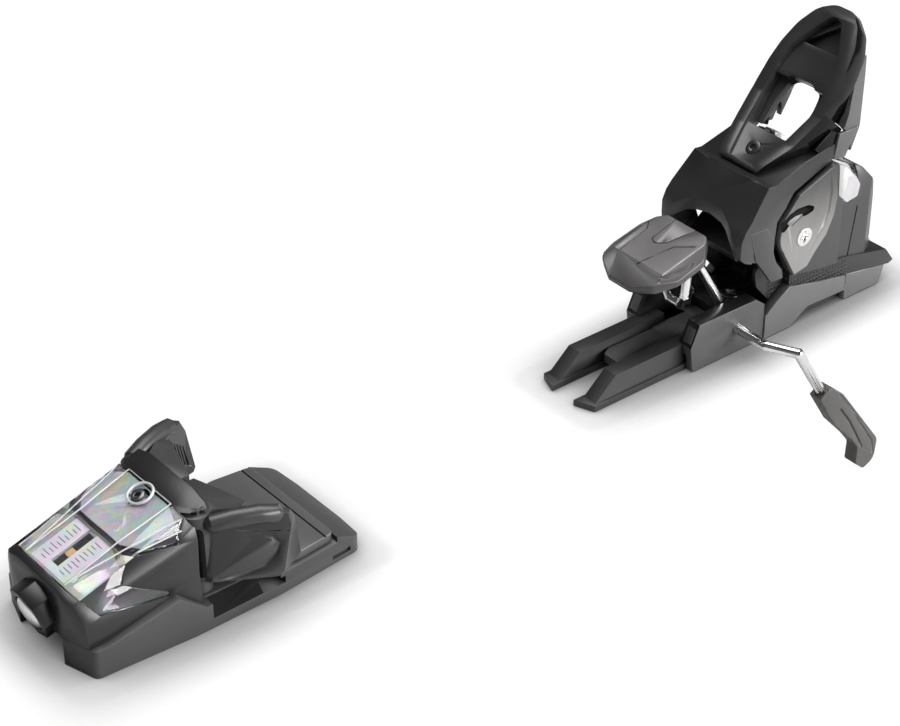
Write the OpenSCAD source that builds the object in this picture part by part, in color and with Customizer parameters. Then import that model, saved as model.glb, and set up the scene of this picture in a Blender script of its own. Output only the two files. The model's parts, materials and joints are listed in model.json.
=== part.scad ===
// Alpine step-in ski binding: a toe unit and a heel unit with a ski brake, set for one boot.
// +X points to the ski tip, +Y to the skier's left, +Z up. The origin is the centre of the toe
// screw pattern on the ski's top face. The heel outlines are written from the heel pivot's x.

/* [Fits] */
// Gap between pieces that slide or swing past each other
slide_gap = 0.3; // [0.2:0.05:0.6]
// Radial clearance of a pin or a shaft in its bore
pin_gap = 0.05; // [0.02:0.01:0.1]
// Gap between pieces that are seated on each other
seat_gap = 0.05; // [0.02:0.01:0.15]

/* [Mounting screws] */
// Distance between the front and rear toe screws
toe_pattern_x = 70; // [66:1:74]
// Distance between the left and right toe screws
toe_pattern_y = 42; // [38:1:46]
// Distance between the front and rear heel screws
heel_pattern_x = 84; // [80:1:88]
// Distance between the left and right heel screws
heel_pattern_y = 25; // [24.5:0.25:25.5]
// Diameter of a mounting screw's shank
screw_d = 5.5; // [4.5:0.1:6]
// Diameter of a mounting screw's head
screw_head_d = 9; // [8:0.1:9.6]
// Height of a mounting screw's head
screw_head_h = 2.5; // [2:0.1:3]
// How far a mounting screw stands out below the ski's top face
screw_reach = 5; // [4:0.5:12]

/* [Toe base] */
// Front end of the base, ahead of the origin
toe_front = 74; // [72:0.5:80]
// Rear end of the base, behind the origin
toe_rear = 66; // [62:0.5:72]
// Width of the base
toe_w = 72; // [70:0.5:78]
// Height of the base's front shoulder
saddle_h = 13.6; // [12.5:0.1:14]
// Height of the base's side peaks
peak_h = 21.8; // [20:0.1:23]
// Height of the base floor between the wings
wing_floor = 12; // [11:0.1:13]
// Width of the opening in the base's nose
nose_gap_w = 34; // [30:0.5:40]

/* [Toe housing and cover] */
// Height of the housing's top line at the cover's rear edge
crown_h = 53.2; // [52:0.1:58]
// Distance of the cover's rear edge ahead of the origin
crown_x = 18; // [17:0.1:19]
// Slope of the housing's top line
crown_slope = 18; // [16:0.25:19]
// Wall of the clear cover
cover_wall = 2.2; // [1.6:0.1:2.6]
// Half the width of the cover's flat top
cover_top_y = 15; // [13:0.25:17]
// Diameter of the cover screw's head
cover_screw_d = 6; // [5:0.1:7]
// Length of the scale plate
scale_len = 24; // [20:0.5:25]
// Width of the scale plate
scale_w = 25; // [22:0.5:26]
// Thickness of the scale plate
scale_t = 0.8; // [0.6:0.1:1]

/* [Toe release gear] */
// Tilt of the release screw, its head being the lower end
release_tilt = 17; // [15.5:0.25:17.5]
// Distance of the release screw's face ahead of the origin
release_x = 78; // [77:0.5:84]
// Height of the release screw's face
release_z = 18; // [17.5:0.1:19]
// Diameter of the release screw's head
release_head_d = 16.5; // [15:0.25:17.5]
// Diameter of the release screw's thread
release_d = 9; // [8:0.25:9.5]
// Diameter of the spring chamber
chamber_d = 16.6; // [16:0.1:17]
// Diameter of the release spring's wire
toe_wire_d = 2.2; // [1.8:0.1:2.4]
// Number of curls in the release spring
toe_curls = 6; // [5:1:7]
// Diameter of the pull rod
pull_rod_d = 6; // [5:0.25:7]

/* [Toe wings] */
// Distance of a wing pin ahead of the origin
wing_pin_x = 11; // [10.5:0.1:11.5]
// Distance of a wing pin from the centre plane
wing_pin_y = 22; // [21.5:0.1:22.5]
// Diameter of a wing pin
wing_pin_d = 5; // [4:0.1:6]
// Diameter of a wing's hub
wing_hub_d = 12; // [11:0.1:12.4]
// Height of the wings' lower edge
wing_low = 18; // [17.5:0.1:19]
// Height of the wings' upper edge
wing_high = 50; // [46:0.25:50.5]
// Distance of a wing tip from the centre plane
wing_tip_y = 44; // [42:0.25:47]
// Distance of a wing tip behind the origin
wing_tip_x = 22; // [20:0.25:25]
// Radius of the boot toe that the wings hold
boot_toe_r = 40; // [39:0.25:42]

/* [Sliding plate] */
// Length of the sliding plate
slide_plate_len = 43; // [40:0.5:44]
// Width of the sliding plate
slide_plate_w = 65; // [56:0.5:68]
// Thickness of the sliding plate
slide_plate_t = 4; // [3:0.1:4.8]
// Height of the base floor below the sliding plate
slide_floor = 10.2; // [9.8:0.1:10.6]

/* [Heel track] */
// Distance of the heel pivot behind the origin
heel_back = 333; // [310:1:360]
// Length of the track's prongs ahead of the pivot
prong_len = 126; // [118:0.5:136]
// Width over the two prongs
track_w = 36; // [35:0.25:36.4]
// Width of the slot between the prongs
track_slot_w = 15; // [14.6:0.1:16]
// Height of the prongs' ridges
ridge_h = 13.8; // [12.5:0.1:14]
// Thickness of the track's flange
flange_t = 3; // [2.5:0.1:3.2]
// Height of the rack
rack_h = 8; // [7.4:0.1:8.1]

/* [Heel carriage] */
// Width over the brake block and the skirts
carriage_w = 46; // [45:0.25:48]
// Height of the channel that runs on the track
channel_h = 8.6; // [8.4:0.05:9]
// Height of the carriage's front deck
deck_h = 15; // [14.5:0.1:16]
// Height of the brake block's towers
tower_h = 25; // [23:0.25:27]

/* [Heel housing] */
// Height of the heel pivot
pivot_h = 53; // [51:0.25:55]
// Width between the housing's cheeks
jaw_w = 41; // [40.4:0.1:41.6]
// Thickness of a housing cheek
cheek_t = 4; // [3.4:0.1:4.4]
// Thickness of a cheek plate
plate_t = 3; // [2:0.1:3.6]
// Diameter of the pivot pin
pivot_d = 8; // [7:0.1:9]
// Diameter of the pivot pin's heads
pivot_head_d = 9.6; // [9.2:0.1:11]
// Height of the release spring's axis
heel_spring_h = 46; // [44:0.25:48]
// Diameter of the release spring's chamber
heel_chamber_d = 21; // [20:0.1:22]
// Diameter of the release spring's wire
heel_wire_d = 2.6; // [2.2:0.1:2.8]
// Number of curls in the release spring
heel_curls = 4; // [3:1:4]

/* [Cup and lever] */
// Width over the cup
cup_w = 54; // [51:0.25:57]
// Wall of the cup
cup_wall = 4; // [3:0.1:4.6]
// Length of the lever
lever_len = 87.5; // [82:0.5:95]
// Greatest width of the lever
lever_w = 45; // [42:0.25:47]
// Wall of the lever's sides
lever_wall = 6.2; // [5.4:0.1:7]
// Lean of the lever from the floor when the heel is open
lever_lean = 46.5; // [44:0.25:49]
// Width of the window in the lever
window_w = 23; // [20:0.25:26]
// Length of the window in the lever
window_len = 29; // [26:0.25:30]

/* [Brake] */
// Distance of the brake pivot ahead of the heel pivot
brake_x = 36; // [35.5:0.1:36.5]
// Height of the brake pivot
brake_h = 13.5; // [13.2:0.1:14.2]
// Diameter of the brake wire
wire_d = 5; // [4:0.1:5.4]
// Distance between the brake arms
brake_w = 112; // [100:1:125]
// Length of the wire's crank
crank_len = 42.8; // [41:0.1:44]
// Angle of the crank from the floor when the brake is down
crank_lean = 64.7; // [63:0.1:66]
// Angle of the arms below the floor when the brake is down
arm_drop = 58; // [55:0.25:60]
// Width of the pedal
pedal_w = 45; // [40:0.5:50]
// Length of the pedal
pedal_len = 45; // [42:0.5:48]
// Thickness of the pedal's shell
pedal_t = 6.5; // [5.5:0.1:7.5]
// Tilt of the pedal when the brake is down
pedal_tilt = 13.7; // [12:0.1:15]
// Width of a claw
claw_w = 8; // [7:0.25:10]

/* [Hidden] */
$fn = 48;
// A length that is longer than any piece, for cuts that run right through
far = 400;

// Straight helpers: slabs from outlines in the side (x, z), front (y, z) and top (x, y) views
module side_slab(outline, y0, y1)
  translate([0, y1, 0]) rotate([90, 0, 0]) linear_extrude(y1 - y0) polygon(outline);
module front_slab(outline, x0, x1)
  translate([x0, 0, 0]) rotate([90, 0, 90]) linear_extrude(x1 - x0) polygon(outline);
module plan_slab(outline, z0, z1)
  translate([0, 0, z0]) linear_extrude(z1 - z0) polygon(outline);
module block(low, high) translate(low) cube(high - low);
module bar_y(r, y0, y1) translate([0, y1, 0]) rotate([90, 0, 0]) cylinder(r = r, h = y1 - y0);
module both_sides() {
  children();
  mirror([0, 1, 0]) children();
}
module at_heel() translate([-heel_back, 0, 0]) children();

// A half outline joined to its mirror image across the centre plane, y being entry i of a point
function mirror_point(p, i) = [for (k = [0 : len(p) - 1]) k == i ? -p[k] : p[k]];
function mirrored(half, i) = concat(half,
  [for (k = [len(half) - 1 : -1 : 0]) if (half[k][i] != 0) mirror_point(half[k], i)]);

// An outline with round corners: a point's third entry is its radius, limited by the edges beside it
function unit(v) = v / norm(v);
function flat(p) = [p.x, p.y];
function corner(a, b, c, r, steps = 4) =
  let (u = unit(a - b), v = unit(c - b))
  let (half = acos(u * v) / 2)
  let (reach = min(r / tan(half), 0.45 * min(norm(a - b), norm(c - b))))
  let (q = reach * tan(half))
  let (mid = b + unit(u + v) * q / sin(half))
  let (from = b + u * reach - mid, to = b + v * reach - mid)
  let (start = atan2(from.y, from.x))
  let (turn = (atan2(to.y, to.x) - start + 540) % 360 - 180)
  [for (i = [0 : steps]) mid + q * [cos(start + turn * i / steps), sin(start + turn * i / steps)]];
function rounded(pts) = let (n = len(pts))
  [for (i = [0 : n - 1])
    each len(pts[i]) < 3 ? [pts[i]]
      : corner(flat(pts[(i + n - 1) % n]), flat(pts[i]), flat(pts[(i + 1) % n]), pts[i].z)];

// A skin over closed rings of points that share one count, with flat ends
module skin(rings) {
  n = len(rings[0]);
  m = len(rings);
  sides = [for (k = [0 : m - 2], i = [0 : n - 1])
    let (a = k * n + i, b = k * n + (i + 1) % n)
    each [[a, b, a + n], [b, b + n, a + n]]];
  first = [for (i = [1 : n - 2]) [0, i + 1, i]];
  last = [for (i = [1 : n - 2]) [(m - 1) * n, (m - 1) * n + i, (m - 1) * n + i + 1]];
  polyhedron([for (ring = rings) each ring], concat(sides, first, last), convexity = 6);
}

// A compression spring along +Z: one unbroken tube with a straight stub at each end
spring_rings = 8;
spring_sides = 6;
function curl_point(r, rise, curls, t) = [r * cos(360 * curls * t), r * sin(360 * curls * t), rise * t];
function spring_path(r, wire, length, curls) =
  let (rise = length - wire, count = spring_rings * curls)
  let (path = [for (i = [0 : count]) curl_point(r, rise, curls, i / count) + [0, 0, wire / 2]])
  let (lead = [0, wire, 0])
  concat([path[0] - lead], path, [path[count] + lead]);
function tube_ring(path, i, r) =
  let (n = len(path), along = unit(path[min(i + 1, n - 1)] - path[max(i - 1, 0)]))
  let (side = unit(cross(along, [0, 0, 1])), up = cross(side, along))
  [for (k = [0 : spring_sides - 1])
    path[i] + r * (cos(360 * k / spring_sides) * side + sin(360 * k / spring_sides) * up)];
function least_gap(path, wire) =
  min([for (i = [0 : len(path) - 1], j = [i + spring_rings - 2 : 1 : len(path) - 1])
    norm(path[i] - path[j]) - wire]);
module spring(name, r, wire, length, curls) {
  path = spring_path(r, wire, length, curls);
  echo(str(name, " least gap to itself, mm: ", least_gap(path, wire)));
  skin([for (i = [len(path) - 1 : -1 : 0]) tube_ring(path, i, wire / 2)]);
}

// A screw head with a cross recess, its top face at z = 0
module cross_head(d, h) {
  slot_w = d * 0.16;
  slot_len = d * 0.6;
  slot_depth = h * 0.5;
  difference() {
    translate([0, 0, -h]) cylinder(d = d, h = h);
    for (a = [0, 90]) rotate([0, 0, a])
      translate([-slot_len / 2, -slot_w / 2, -slot_depth]) cube([slot_len, slot_w, slot_depth + 1]);
  }
}
// The screw's neck runs through the base, and its thread starts below it
module mount_screw(head_z) {
  translate([0, 0, head_z + screw_head_h]) cross_head(screw_head_d, screw_head_h);
  cylinder(d = screw_d - 2 * slide_gap, h = head_z);
  translate([0, 0, -screw_reach]) cylinder(d = screw_d, h = screw_reach);
}
module pattern(sx, sy) for (x = [-sx / 2, sx / 2], y = [-sy / 2, sy / 2]) translate([x, y, 0]) children();
module screw_bores(sx, sy, seat) pattern(sx, sy) {
  translate([0, 0, -1]) cylinder(r = screw_d / 2 + pin_gap, h = far);
  translate([0, 0, seat]) cylinder(r = screw_head_d / 2 + 4 * pin_gap, h = far);
}

// Toe base
shoulder_x = 62;
peak_x = 28.6;
wing_floor_x = 16.8;
slide_rear_x = -51.5;
slide_front_x = slide_rear_x + slide_plate_len;
toe_seat = 5;
deck_ramp_h = 12.8;
deck_tail_h = 6.5;
toe_front_w = toe_w - 5;
toe_rear_w = toe_w - 9;
tee_x = -17;
tee_neck = 6;
tee_foot = 11;
tee_low = 5.2;
tee_shelf = 8;
hub_seat = wing_low - slide_gap;
nose_depth = 16;
function saddle_line(lift) = [[toe_front, saddle_h + lift], [shoulder_x, saddle_h + lift],
  [peak_x, peak_h + lift], [wing_floor_x, wing_floor + lift]];
toe_plan = rounded(mirrored([[toe_front, nose_gap_w / 2], [toe_front - 5, toe_front_w / 2, 3],
  [22, toe_w / 2, 20], [-20, toe_w / 2 - 0.5, 20], [-toe_rear + 1.5, toe_rear_w / 2, 4],
  [-toe_rear, toe_rear_w / 4]], 1));
toe_side = concat([[toe_front, 0]], saddle_line(0),
  [[slide_front_x + slide_gap, wing_floor], [slide_front_x + slide_gap, slide_floor],
   [slide_rear_x - slide_gap, slide_floor], [slide_rear_x - slide_gap, deck_ramp_h],
   [-toe_rear, deck_tail_h], [-toe_rear, 0]]);
// The scooped flank below each wing
scoop = [[toe_w / 2 + 3, 2], [toe_w / 2 + 3, wing_floor + 2], [toe_w / 2 - 6, wing_floor + 2],
  [toe_w / 2 - 7, wing_floor - 1]];
module toe_base() color([0.16, 0.16, 0.17]) difference() {
  union() {
    intersection() {
      plan_slab(toe_plan, 0, peak_h + 1);
      side_slab(toe_side, -toe_w, toe_w);
    }
    for (s = [-1, 1]) translate([wing_pin_x, s * wing_pin_y, 0]) cylinder(d = wing_hub_d - 1, h = hub_seat);
  }
  block([toe_front - nose_depth, -nose_gap_w / 2, -1], [toe_front + 1, nose_gap_w / 2, peak_h]);
  both_sides() front_slab(scoop, slide_front_x - 8, 14);
  // the cross groove that holds the sliding plate's foot
  block([tee_x - tee_neck / 2 - slide_gap, -far, tee_shelf],
    [tee_x + tee_neck / 2 + slide_gap, far, far]);
  block([tee_x - tee_foot / 2 - slide_gap, -far, tee_low - slide_gap],
    [tee_x + tee_foot / 2 + slide_gap, far, tee_shelf + slide_gap]);
  screw_bores(toe_pattern_x, toe_pattern_y, toe_seat);
  for (s = [-1, 1]) translate([wing_pin_x, s * wing_pin_y, pin_foot])
    cylinder(r = wing_pin_d / 2 + pin_gap, h = far);
  both_sides() block([-toe_rear + 7, toe_rear_w / 2 - 1, 2], [-toe_rear + 17, toe_w, 4.4]);
}
module toe_mount_screws() color("silver") pattern(toe_pattern_x, toe_pattern_y) mount_screw(toe_seat);

// Toe housing: one tilted cross-section, cut by the side view; the cover is its outer skin
function crown_at(x) = crown_h + (crown_x - x) * tan(crown_slope);
housing_rear_low = 17.2;
housing_rear_high = 14.5;
roof_x = 7.5;
roof_low = wing_high + 1.7;
pin_foot = 5;
pin_top = roof_low + 0.8;
function housing_section(inset) = mirrored([
  [nose_low_y - inset, -46], [nose_low_y - inset, -34], [31 - inset, -26], [29.6 - inset, -11.5],
  [27.6 - 0.9 * inset, -7.5 - 0.4 * inset], [24 - 0.7 * inset, -2.4 - 0.8 * inset],
  [cover_top_y - 0.2 * inset, -inset]], 0);
nose_low_y = toe_front_w / 2 - 0.3;
module toe_section(inset)
  translate([crown_x, 0, crown_h]) rotate([0, crown_slope, 0])
    front_slab(housing_section(inset), -40, 80);
housing_side = concat(saddle_line(seat_gap),
  [[housing_rear_low, wing_floor + 3], [housing_rear_high, roof_low], [roof_x, roof_low],
   [roof_x, crown_at(roof_x) + 2], [toe_front - 1, crown_at(toe_front - 1) + 2], [toe_front, 30]]);
housing_plan = mirrored([[toe_front + 0.2, 19], [toe_front - 6, toe_front_w / 2 + 1], [0, toe_w / 2]], 1);
module toe_envelope(inset) intersection() {
  toe_section(inset);
  side_slab(housing_side, -toe_w, toe_w);
  plan_slab(housing_plan, 0, far);
}
// The cover's outline in the side view: top panel, upper leg and lower foot of each flank
cover_front = [70.6, crown_at(70.6)];
cover_side = [[62.7, 26.7], [31, 21.9], [31, 24], [51, 35.5], [45, 43], [23, 42.5], [22, 46.5],
  [crown_x, 51], [crown_x, crown_h + 4], [cover_front.x, cover_front.y + 4], cover_front];
cover_screw_x = 24;
boss_d = cover_screw_d + 4;
module on_crown(x, inset)
  translate([x, 0, crown_at(x)]) rotate([0, crown_slope, 0]) translate([0, 0, -inset]) children();
// Places along the release screw's axis: z runs from the head's face back into the housing
module on_release() translate([release_x, 0, release_z]) rotate([0, release_tilt - 90, 0]) children();
head_len = 5;
chamber_from = 15;
chamber_to = 58;
nut_from = 22;
nut_len = 8;
nut_travel = 6;
screw_tail = 42;
rod_from = 43;
collar_d = 25;
collar_len = 8;
flag_w = 3.6;
scale_front = 69;
scale_slot_w = flag_w + 1.6;
flag_x = release_x - (nut_from + nut_len + nut_travel) * cos(release_tilt);
// Height of the housing's crown over the release axis, beside the indicator's flag
flag_h = (crown_at(flag_x) - release_z - (release_x - flag_x) * tan(release_tilt)) * cos(crown_slope)
  - cover_wall - 1.2;
module toe_housing() color([0.2, 0.2, 0.21]) difference() {
  toe_envelope(0);
  difference() {
    side_slab(cover_side, -toe_w, toe_w);
    toe_section(cover_wall + seat_gap);
  }
  on_release() {
    translate([0, 0, -10]) cylinder(d = collar_d + 2 * seat_gap, h = collar_len + 10 + seat_gap, $fn = 8);
    translate([0, 0, 1]) cylinder(r = release_d / 2 + pin_gap, h = chamber_from);
    translate([0, 0, chamber_from]) cylinder(d = chamber_d, h = chamber_to - chamber_from);
    cylinder(r = pull_rod_d / 2 + pin_gap, h = 80);
    // slot for the indicator's flag
    translate([0, -flag_w / 2 - slide_gap, chamber_from])
      cube([far, flag_w + 2 * slide_gap, nut_from + nut_len + nut_travel + 1 - chamber_from]);
  }
  for (s = [-1, 1]) translate([wing_pin_x, s * wing_pin_y, 0]) {
    cylinder(r = wing_pin_d / 2 + pin_gap, h = pin_top);
    translate([0, 0, wing_floor]) cylinder(r = wing_hub_d / 2 + 2 * slide_gap, h = roof_low - wing_floor);
  }
  on_crown(scale_front, cover_wall + scale_t + 2 * seat_gap)
    translate([-scale_len - seat_gap, -scale_w / 2 - seat_gap, 0])
      cube([scale_len + 2 * seat_gap, scale_w + 2 * seat_gap, 10]);
  on_crown(cover_screw_x, 14) cylinder(r = cover_screw_d / 4 + pin_gap, h = far);
  on_crown(cover_screw_x, cover_wall + 4) cylinder(r = boss_d / 2 + pin_gap, h = far);
}
module toe_cover() color([0.85, 0.88, 0.9, 0.35]) difference() {
  union() {
    intersection() {
      difference() {
        toe_envelope(0);
        toe_section(cover_wall);
      }
      side_slab(cover_side, -toe_w, toe_w);
    }
    on_crown(cover_screw_x, cover_wall + 4 - seat_gap) cylinder(d = boss_d, h = 4.5);
  }
  on_crown(cover_screw_x, 14) cylinder(r = cover_screw_d / 4 + pin_gap, h = far);
  on_crown(cover_screw_x, 2.4) cylinder(r = cover_screw_d / 2 + 4 * pin_gap, h = far);
}
module toe_cover_screw() color([0.1, 0.1, 0.1]) {
  on_crown(cover_screw_x, -0.6) difference() {
    translate([0, 0, -3]) cylinder(d = cover_screw_d, h = 3);
    translate([0, 0, -1.6]) cylinder(d = cover_screw_d * 0.5, h = 3, $fn = 6);
  }
  on_crown(cover_screw_x, 13) cylinder(d = cover_screw_d / 2, h = 13 - 2.4);
}
module toe_scale_plate() color("white") difference() {
  on_crown(scale_front, cover_wall + scale_t + seat_gap)
    translate([-scale_len, -scale_w / 2, 0]) cube([scale_len, scale_w, scale_t]);
  on_crown(scale_front, far / 2) translate([-scale_len - 1, -scale_slot_w / 2, 0])
    cube([scale_len - 3, scale_slot_w, far]);
}
module toe_collar() color([0.08, 0.08, 0.08]) on_release() difference() {
  translate([0, 0, -1]) cylinder(d = collar_d, h = collar_len + 1, $fn = 8);
  translate([0, 0, -2]) cylinder(r = release_head_d / 2 + slide_gap, h = head_len + 2 + slide_gap);
  cylinder(r = release_d / 2 + slide_gap, h = far);
}
module toe_release_screw() color("gainsboro") on_release() difference() {
  union() {
    cylinder(d = release_head_d, h = head_len);
    translate([0, 0, head_len]) cylinder(d = release_d, h = screw_tail - head_len);
  }
  translate([-release_head_d * 0.32, -0.9, -1]) cube([release_head_d * 0.64, 1.8, 3]);
  translate([-0.9, -release_head_d * 0.32, -1]) cube([1.8, release_head_d * 0.64, 3]);
}
module toe_indicator_nut() color("orangered") on_release() difference() {
  union() {
    translate([0, 0, nut_from]) cylinder(r = chamber_d / 2 - slide_gap, h = nut_len);
    translate([0, -flag_w / 2, nut_from + 2]) cube([flag_h, flag_w, nut_len - 4]);
  }
  translate([0, 0, nut_from - 1]) cylinder(r = release_d / 2 + pin_gap, h = nut_len + 2);
}
module toe_spring() color("silver") on_release()
  translate([0, 0, nut_from + nut_len + slide_gap])
    spring("toe spring", chamber_d / 2 - slide_gap - toe_wire_d / 2, toe_wire_d,
      chamber_to - nut_from - nut_len - 2 * slide_gap, toe_curls);
cross_half = wing_pin_y - wing_hub_d / 2 - 2.6;
cross_x = 4.2;
cross_h = 6;
module toe_pull_rod() color([0.7, 0.58, 0.3]) union() {
  on_release() translate([0, 0, rod_from])
    cylinder(d = pull_rod_d, h = (release_x - cross_x) / cos(release_tilt) - rod_from);
  on_release() translate([-cross_h / 2, -cross_half, (release_x - cross_x) / cos(release_tilt) - 3])
    cube([cross_h, 2 * cross_half, 4]);
}

// Toe wings: a hub on its pin and a curved blade that holds the boot's toe
boot_toe_x = 3;
wing_fall = 4;
function lerp(a, b, t) = a + (b - a) * t;
function boot_arc(y) = [boot_toe_x - boot_toe_r + sqrt(boot_toe_r * boot_toe_r - y * y), y];
function wing_z(x, t) = lerp(wing_low,
  wing_high - wing_fall * max(0, wing_pin_x - x) / (wing_pin_x + wing_tip_x), t);
function wing_ring(t, inset) =
  let (front = lerp([10.6, wing_pin_y + 9.6], [4.5, wing_pin_y + 3], t))
  let (rear = lerp([-wing_tip_x + 7, wing_tip_y + 1.5], [-wing_tip_x, wing_tip_y], t))
  let (tip = lerp([-wing_tip_x - 7, wing_tip_y - 5.5], [-wing_tip_x - 2.5, wing_tip_y - 3.5], t))
  let (arc = [for (k = [0 : 5]) boot_arc(lerp(tip.y - 1.5, wing_pin_y - 6, k / 5))])
  let (ring = concat([[front.x, front.y - inset], [wing_pin_x + 3, wing_pin_y + 3],
      [wing_pin_x + 2, wing_pin_y - 4]],
    [for (k = [5 : -1 : 0]) [max(arc[k].x, tip.x + 0.5) + inset, arc[k].y]],
    [[tip.x + inset, tip.y], [rear.x + inset, rear.y - inset]]))
  [for (p = ring) [p.x, p.y, wing_z(p.x, t)]];
// Each wing's brow reaches to the middle, over the boot's toe
brow_low = 45.4;
brow_high = 48.8;
brow_plan = [[2.8, 1.6], [-2.2, 1.6], [-4.2, 8], [-6.5, 15], [-8, 21], [-10, 28],
  [-4, 30], [6, 22], [2.8, 16]];
module wing() color([0.17, 0.17, 0.18]) difference() {
  union() {
    skin([wing_ring(0, 1.5), wing_ring(0.08, 0), wing_ring(0.82, 0), wing_ring(1, 1.5)]);
    translate([wing_pin_x, wing_pin_y, wing_low]) cylinder(d = wing_hub_d, h = wing_high - wing_low);
    plan_slab(brow_plan, brow_low, brow_high);
  }
  translate([wing_pin_x, wing_pin_y, 0]) cylinder(r = wing_pin_d / 2 + pin_gap, h = far);
}
module toe_wing_left() wing();
module toe_wing_right() mirror([0, 1, 0]) wing();
module toe_wing_pins() color("silver") both_sides()
  translate([wing_pin_x, wing_pin_y, pin_foot]) cylinder(d = wing_pin_d, h = pin_top - pin_foot - seat_gap);

// Sliding plate under the boot's toe, with a foot in the base's cross groove
module toe_slide_plate() color([0.1, 0.1, 0.11]) {
  plate_low = slide_floor + slide_gap;
  plan_slab(rounded(mirrored([[slide_front_x, slide_plate_w / 2 - 5, 4],
    [slide_rear_x + 20, slide_plate_w / 2, 10], [slide_rear_x, slide_plate_w / 2 - 2, 3]], 1)),
    plate_low, plate_low + slide_plate_t);
  block([tee_x - tee_neck / 2, -slide_plate_w / 2 + 6, tee_shelf - 1],
    [tee_x + tee_neck / 2, slide_plate_w / 2 - 6, plate_low + 0.5]);
  block([tee_x - tee_foot / 2, -slide_plate_w / 2 + 6, tee_low],
    [tee_x + tee_foot / 2, slide_plate_w / 2 - 6, tee_shelf - slide_gap]);
}

// Heel track: two prongs with ridges, joined behind by a flange that carries the rack
track_end = -50;
bridge_x = 50;
ridge_in = track_slot_w / 2 + 1;
ridge_out = track_w / 2 - 1.5;
ridge_end = 54;
rack_half = 6;
rack_front = 10;
rack_pitch = 3;
rack_teeth = 7;
rack_outline = concat([[rack_front, 0], [rack_front, rack_h]],
  [for (i = [rack_teeth - 1 : -1 : 0]) let (x = track_end + 2 + i * rack_pitch)
    each [[x + rack_pitch, rack_h], [x + rack_pitch / 2, rack_h - 1.5]]],
  [[track_end + 2, rack_h], [track_end + 2, 0]]);
module heel_track() color([0.1, 0.1, 0.1]) at_heel() difference() {
  union() {
    both_sides() {
      plan_slab([[prong_len, track_slot_w / 2], [prong_len - 4, track_w / 2],
        [track_end, track_w / 2], [track_end, track_slot_w / 2]], 0, flange_t);
      side_slab([[prong_len - 5, flange_t - 0.5], [prong_len - 18, ridge_h], [ridge_end, ridge_h],
        [ridge_end, flange_t - 0.5]], ridge_in, ridge_out);
    }
    block([track_end, -track_w / 2, 0], [bridge_x, track_w / 2, flange_t]);
    side_slab(rack_outline, -rack_half, rack_half);
  }
  screw_bores(heel_pattern_x, heel_pattern_y, flange_t);
}
module heel_mount_screws() color("silver") at_heel()
  pattern(heel_pattern_x, heel_pattern_y) mount_screw(flange_t);

// Carriage: the black sled, whose band shows between the skirts and the housing
channel_half = track_w / 2 + slide_gap;
ground_gap = slide_gap;
deck_front = brake_x - wire_d / 2 - 0.7;
tower_in = 14.3;
sled_front = 17.5;
block_rear = sled_front + 0.4;
tail_x = -73;
band_high = [[-67, 18.6], [-35, 26], [-18, 27.2], [-3, 30], [2, 31]];
band_low = [[-70, 9.3], [-37.5, 15.1], [-18.5, 18.9], [-1, 23], [2, 24]];
function reversed(list) = [for (i = [len(list) - 1 : -1 : 0]) list[i]];
function lifted(list, lift) = [for (p = list) p + [0, lift]];
worm_d = 8;
worm_h = rack_h + 0.4 + worm_d / 2;
worm_front = -34;
worm_head_d = 11;
forward_h = 18.6;
forward_d = 9.2;
forward_from = -31;
forward_to = 1.8;
plug_len = 4;
forward_wire_d = 1.6;
forward_curls = 7;
deck_screw_x = 18.5;
deck_screw_d = 9.5;
ear_outline = [[0, 20], [0, 34], [12, 39.5, 4], [22, 39, 5], [20, 28], [8, 14]];
ear_in = 16;
ear_out = 18;
module along_x(x, z) translate([x, 0, z]) rotate([0, 90, 0]) children();
module heel_sled() color([0.09, 0.09, 0.09]) at_heel() difference() {
  union() {
    block([-2, -tower_in + seat_gap, channel_h], [deck_front, tower_in - seat_gap, deck_h]);
    side_slab(concat([[sled_front, channel_h], [sled_front, deck_h], [4, deck_h]], [[2, 24]],
      reversed(band_high), [[tail_x, 10.5], [tail_x + 4, channel_h]]), -channel_half, channel_half);
    side_slab(concat(reversed(band_high), [[tail_x, 10.5]], band_low),
      -carriage_w / 2 + 0.6, carriage_w / 2 - 0.6);
    both_sides() side_slab(rounded(ear_outline), ear_in, ear_out);
  }
  along_x(tail_x - 5, worm_h) cylinder(r = worm_d / 2 + pin_gap, h = worm_front - tail_x + 5);
  along_x(tail_x - 5, worm_h) cylinder(d = worm_head_d + 2 * slide_gap, h = 9);
  along_x(forward_from, forward_h) cylinder(d = forward_d, h = far);
  translate([deck_screw_x, 0, 0]) cylinder(r = deck_screw_d / 4 + pin_gap, h = far);
  translate([deck_screw_x, 0, deck_h - 1.2]) cylinder(r = deck_screw_d / 2 + 2 * pin_gap, h = far);
}
module deck_screw() color("gainsboro") at_heel() translate([deck_screw_x, 0, 0]) {
  translate([0, 0, deck_h + 1.2]) cross_head(deck_screw_d, 2.4 - seat_gap);
  translate([0, 0, channel_h]) cylinder(d = deck_screw_d / 2, h = deck_h - 1 - channel_h);
}
module length_screw() color("gray") at_heel() difference() {
  union() {
    along_x(tail_x - 1, worm_h) cylinder(d = worm_d, h = worm_front - tail_x + 0.5);
    along_x(tail_x - 1, worm_h) cylinder(d = worm_head_d, h = 4.5);
  }
  translate([tail_x - 2, -worm_head_d * 0.36, worm_h - 0.8]) cube([2.6, worm_head_d * 0.72, 1.6]);
}
module forward_spring() color("silver") at_heel()
  along_x(forward_from + slide_gap, forward_h)
    spring("forward spring", forward_d / 2 - slide_gap - forward_wire_d / 2, forward_wire_d,
      forward_to - plug_len - forward_from - 2 * slide_gap, forward_curls);
module forward_spring_plug() color("gray") at_heel() difference() {
  along_x(forward_to - plug_len, forward_h) cylinder(r = forward_d / 2 - pin_gap, h = plug_len);
  translate([forward_to - 1.5, -2.5, forward_h - 0.6]) cube([3, 5, 1.2]);
}
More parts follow.
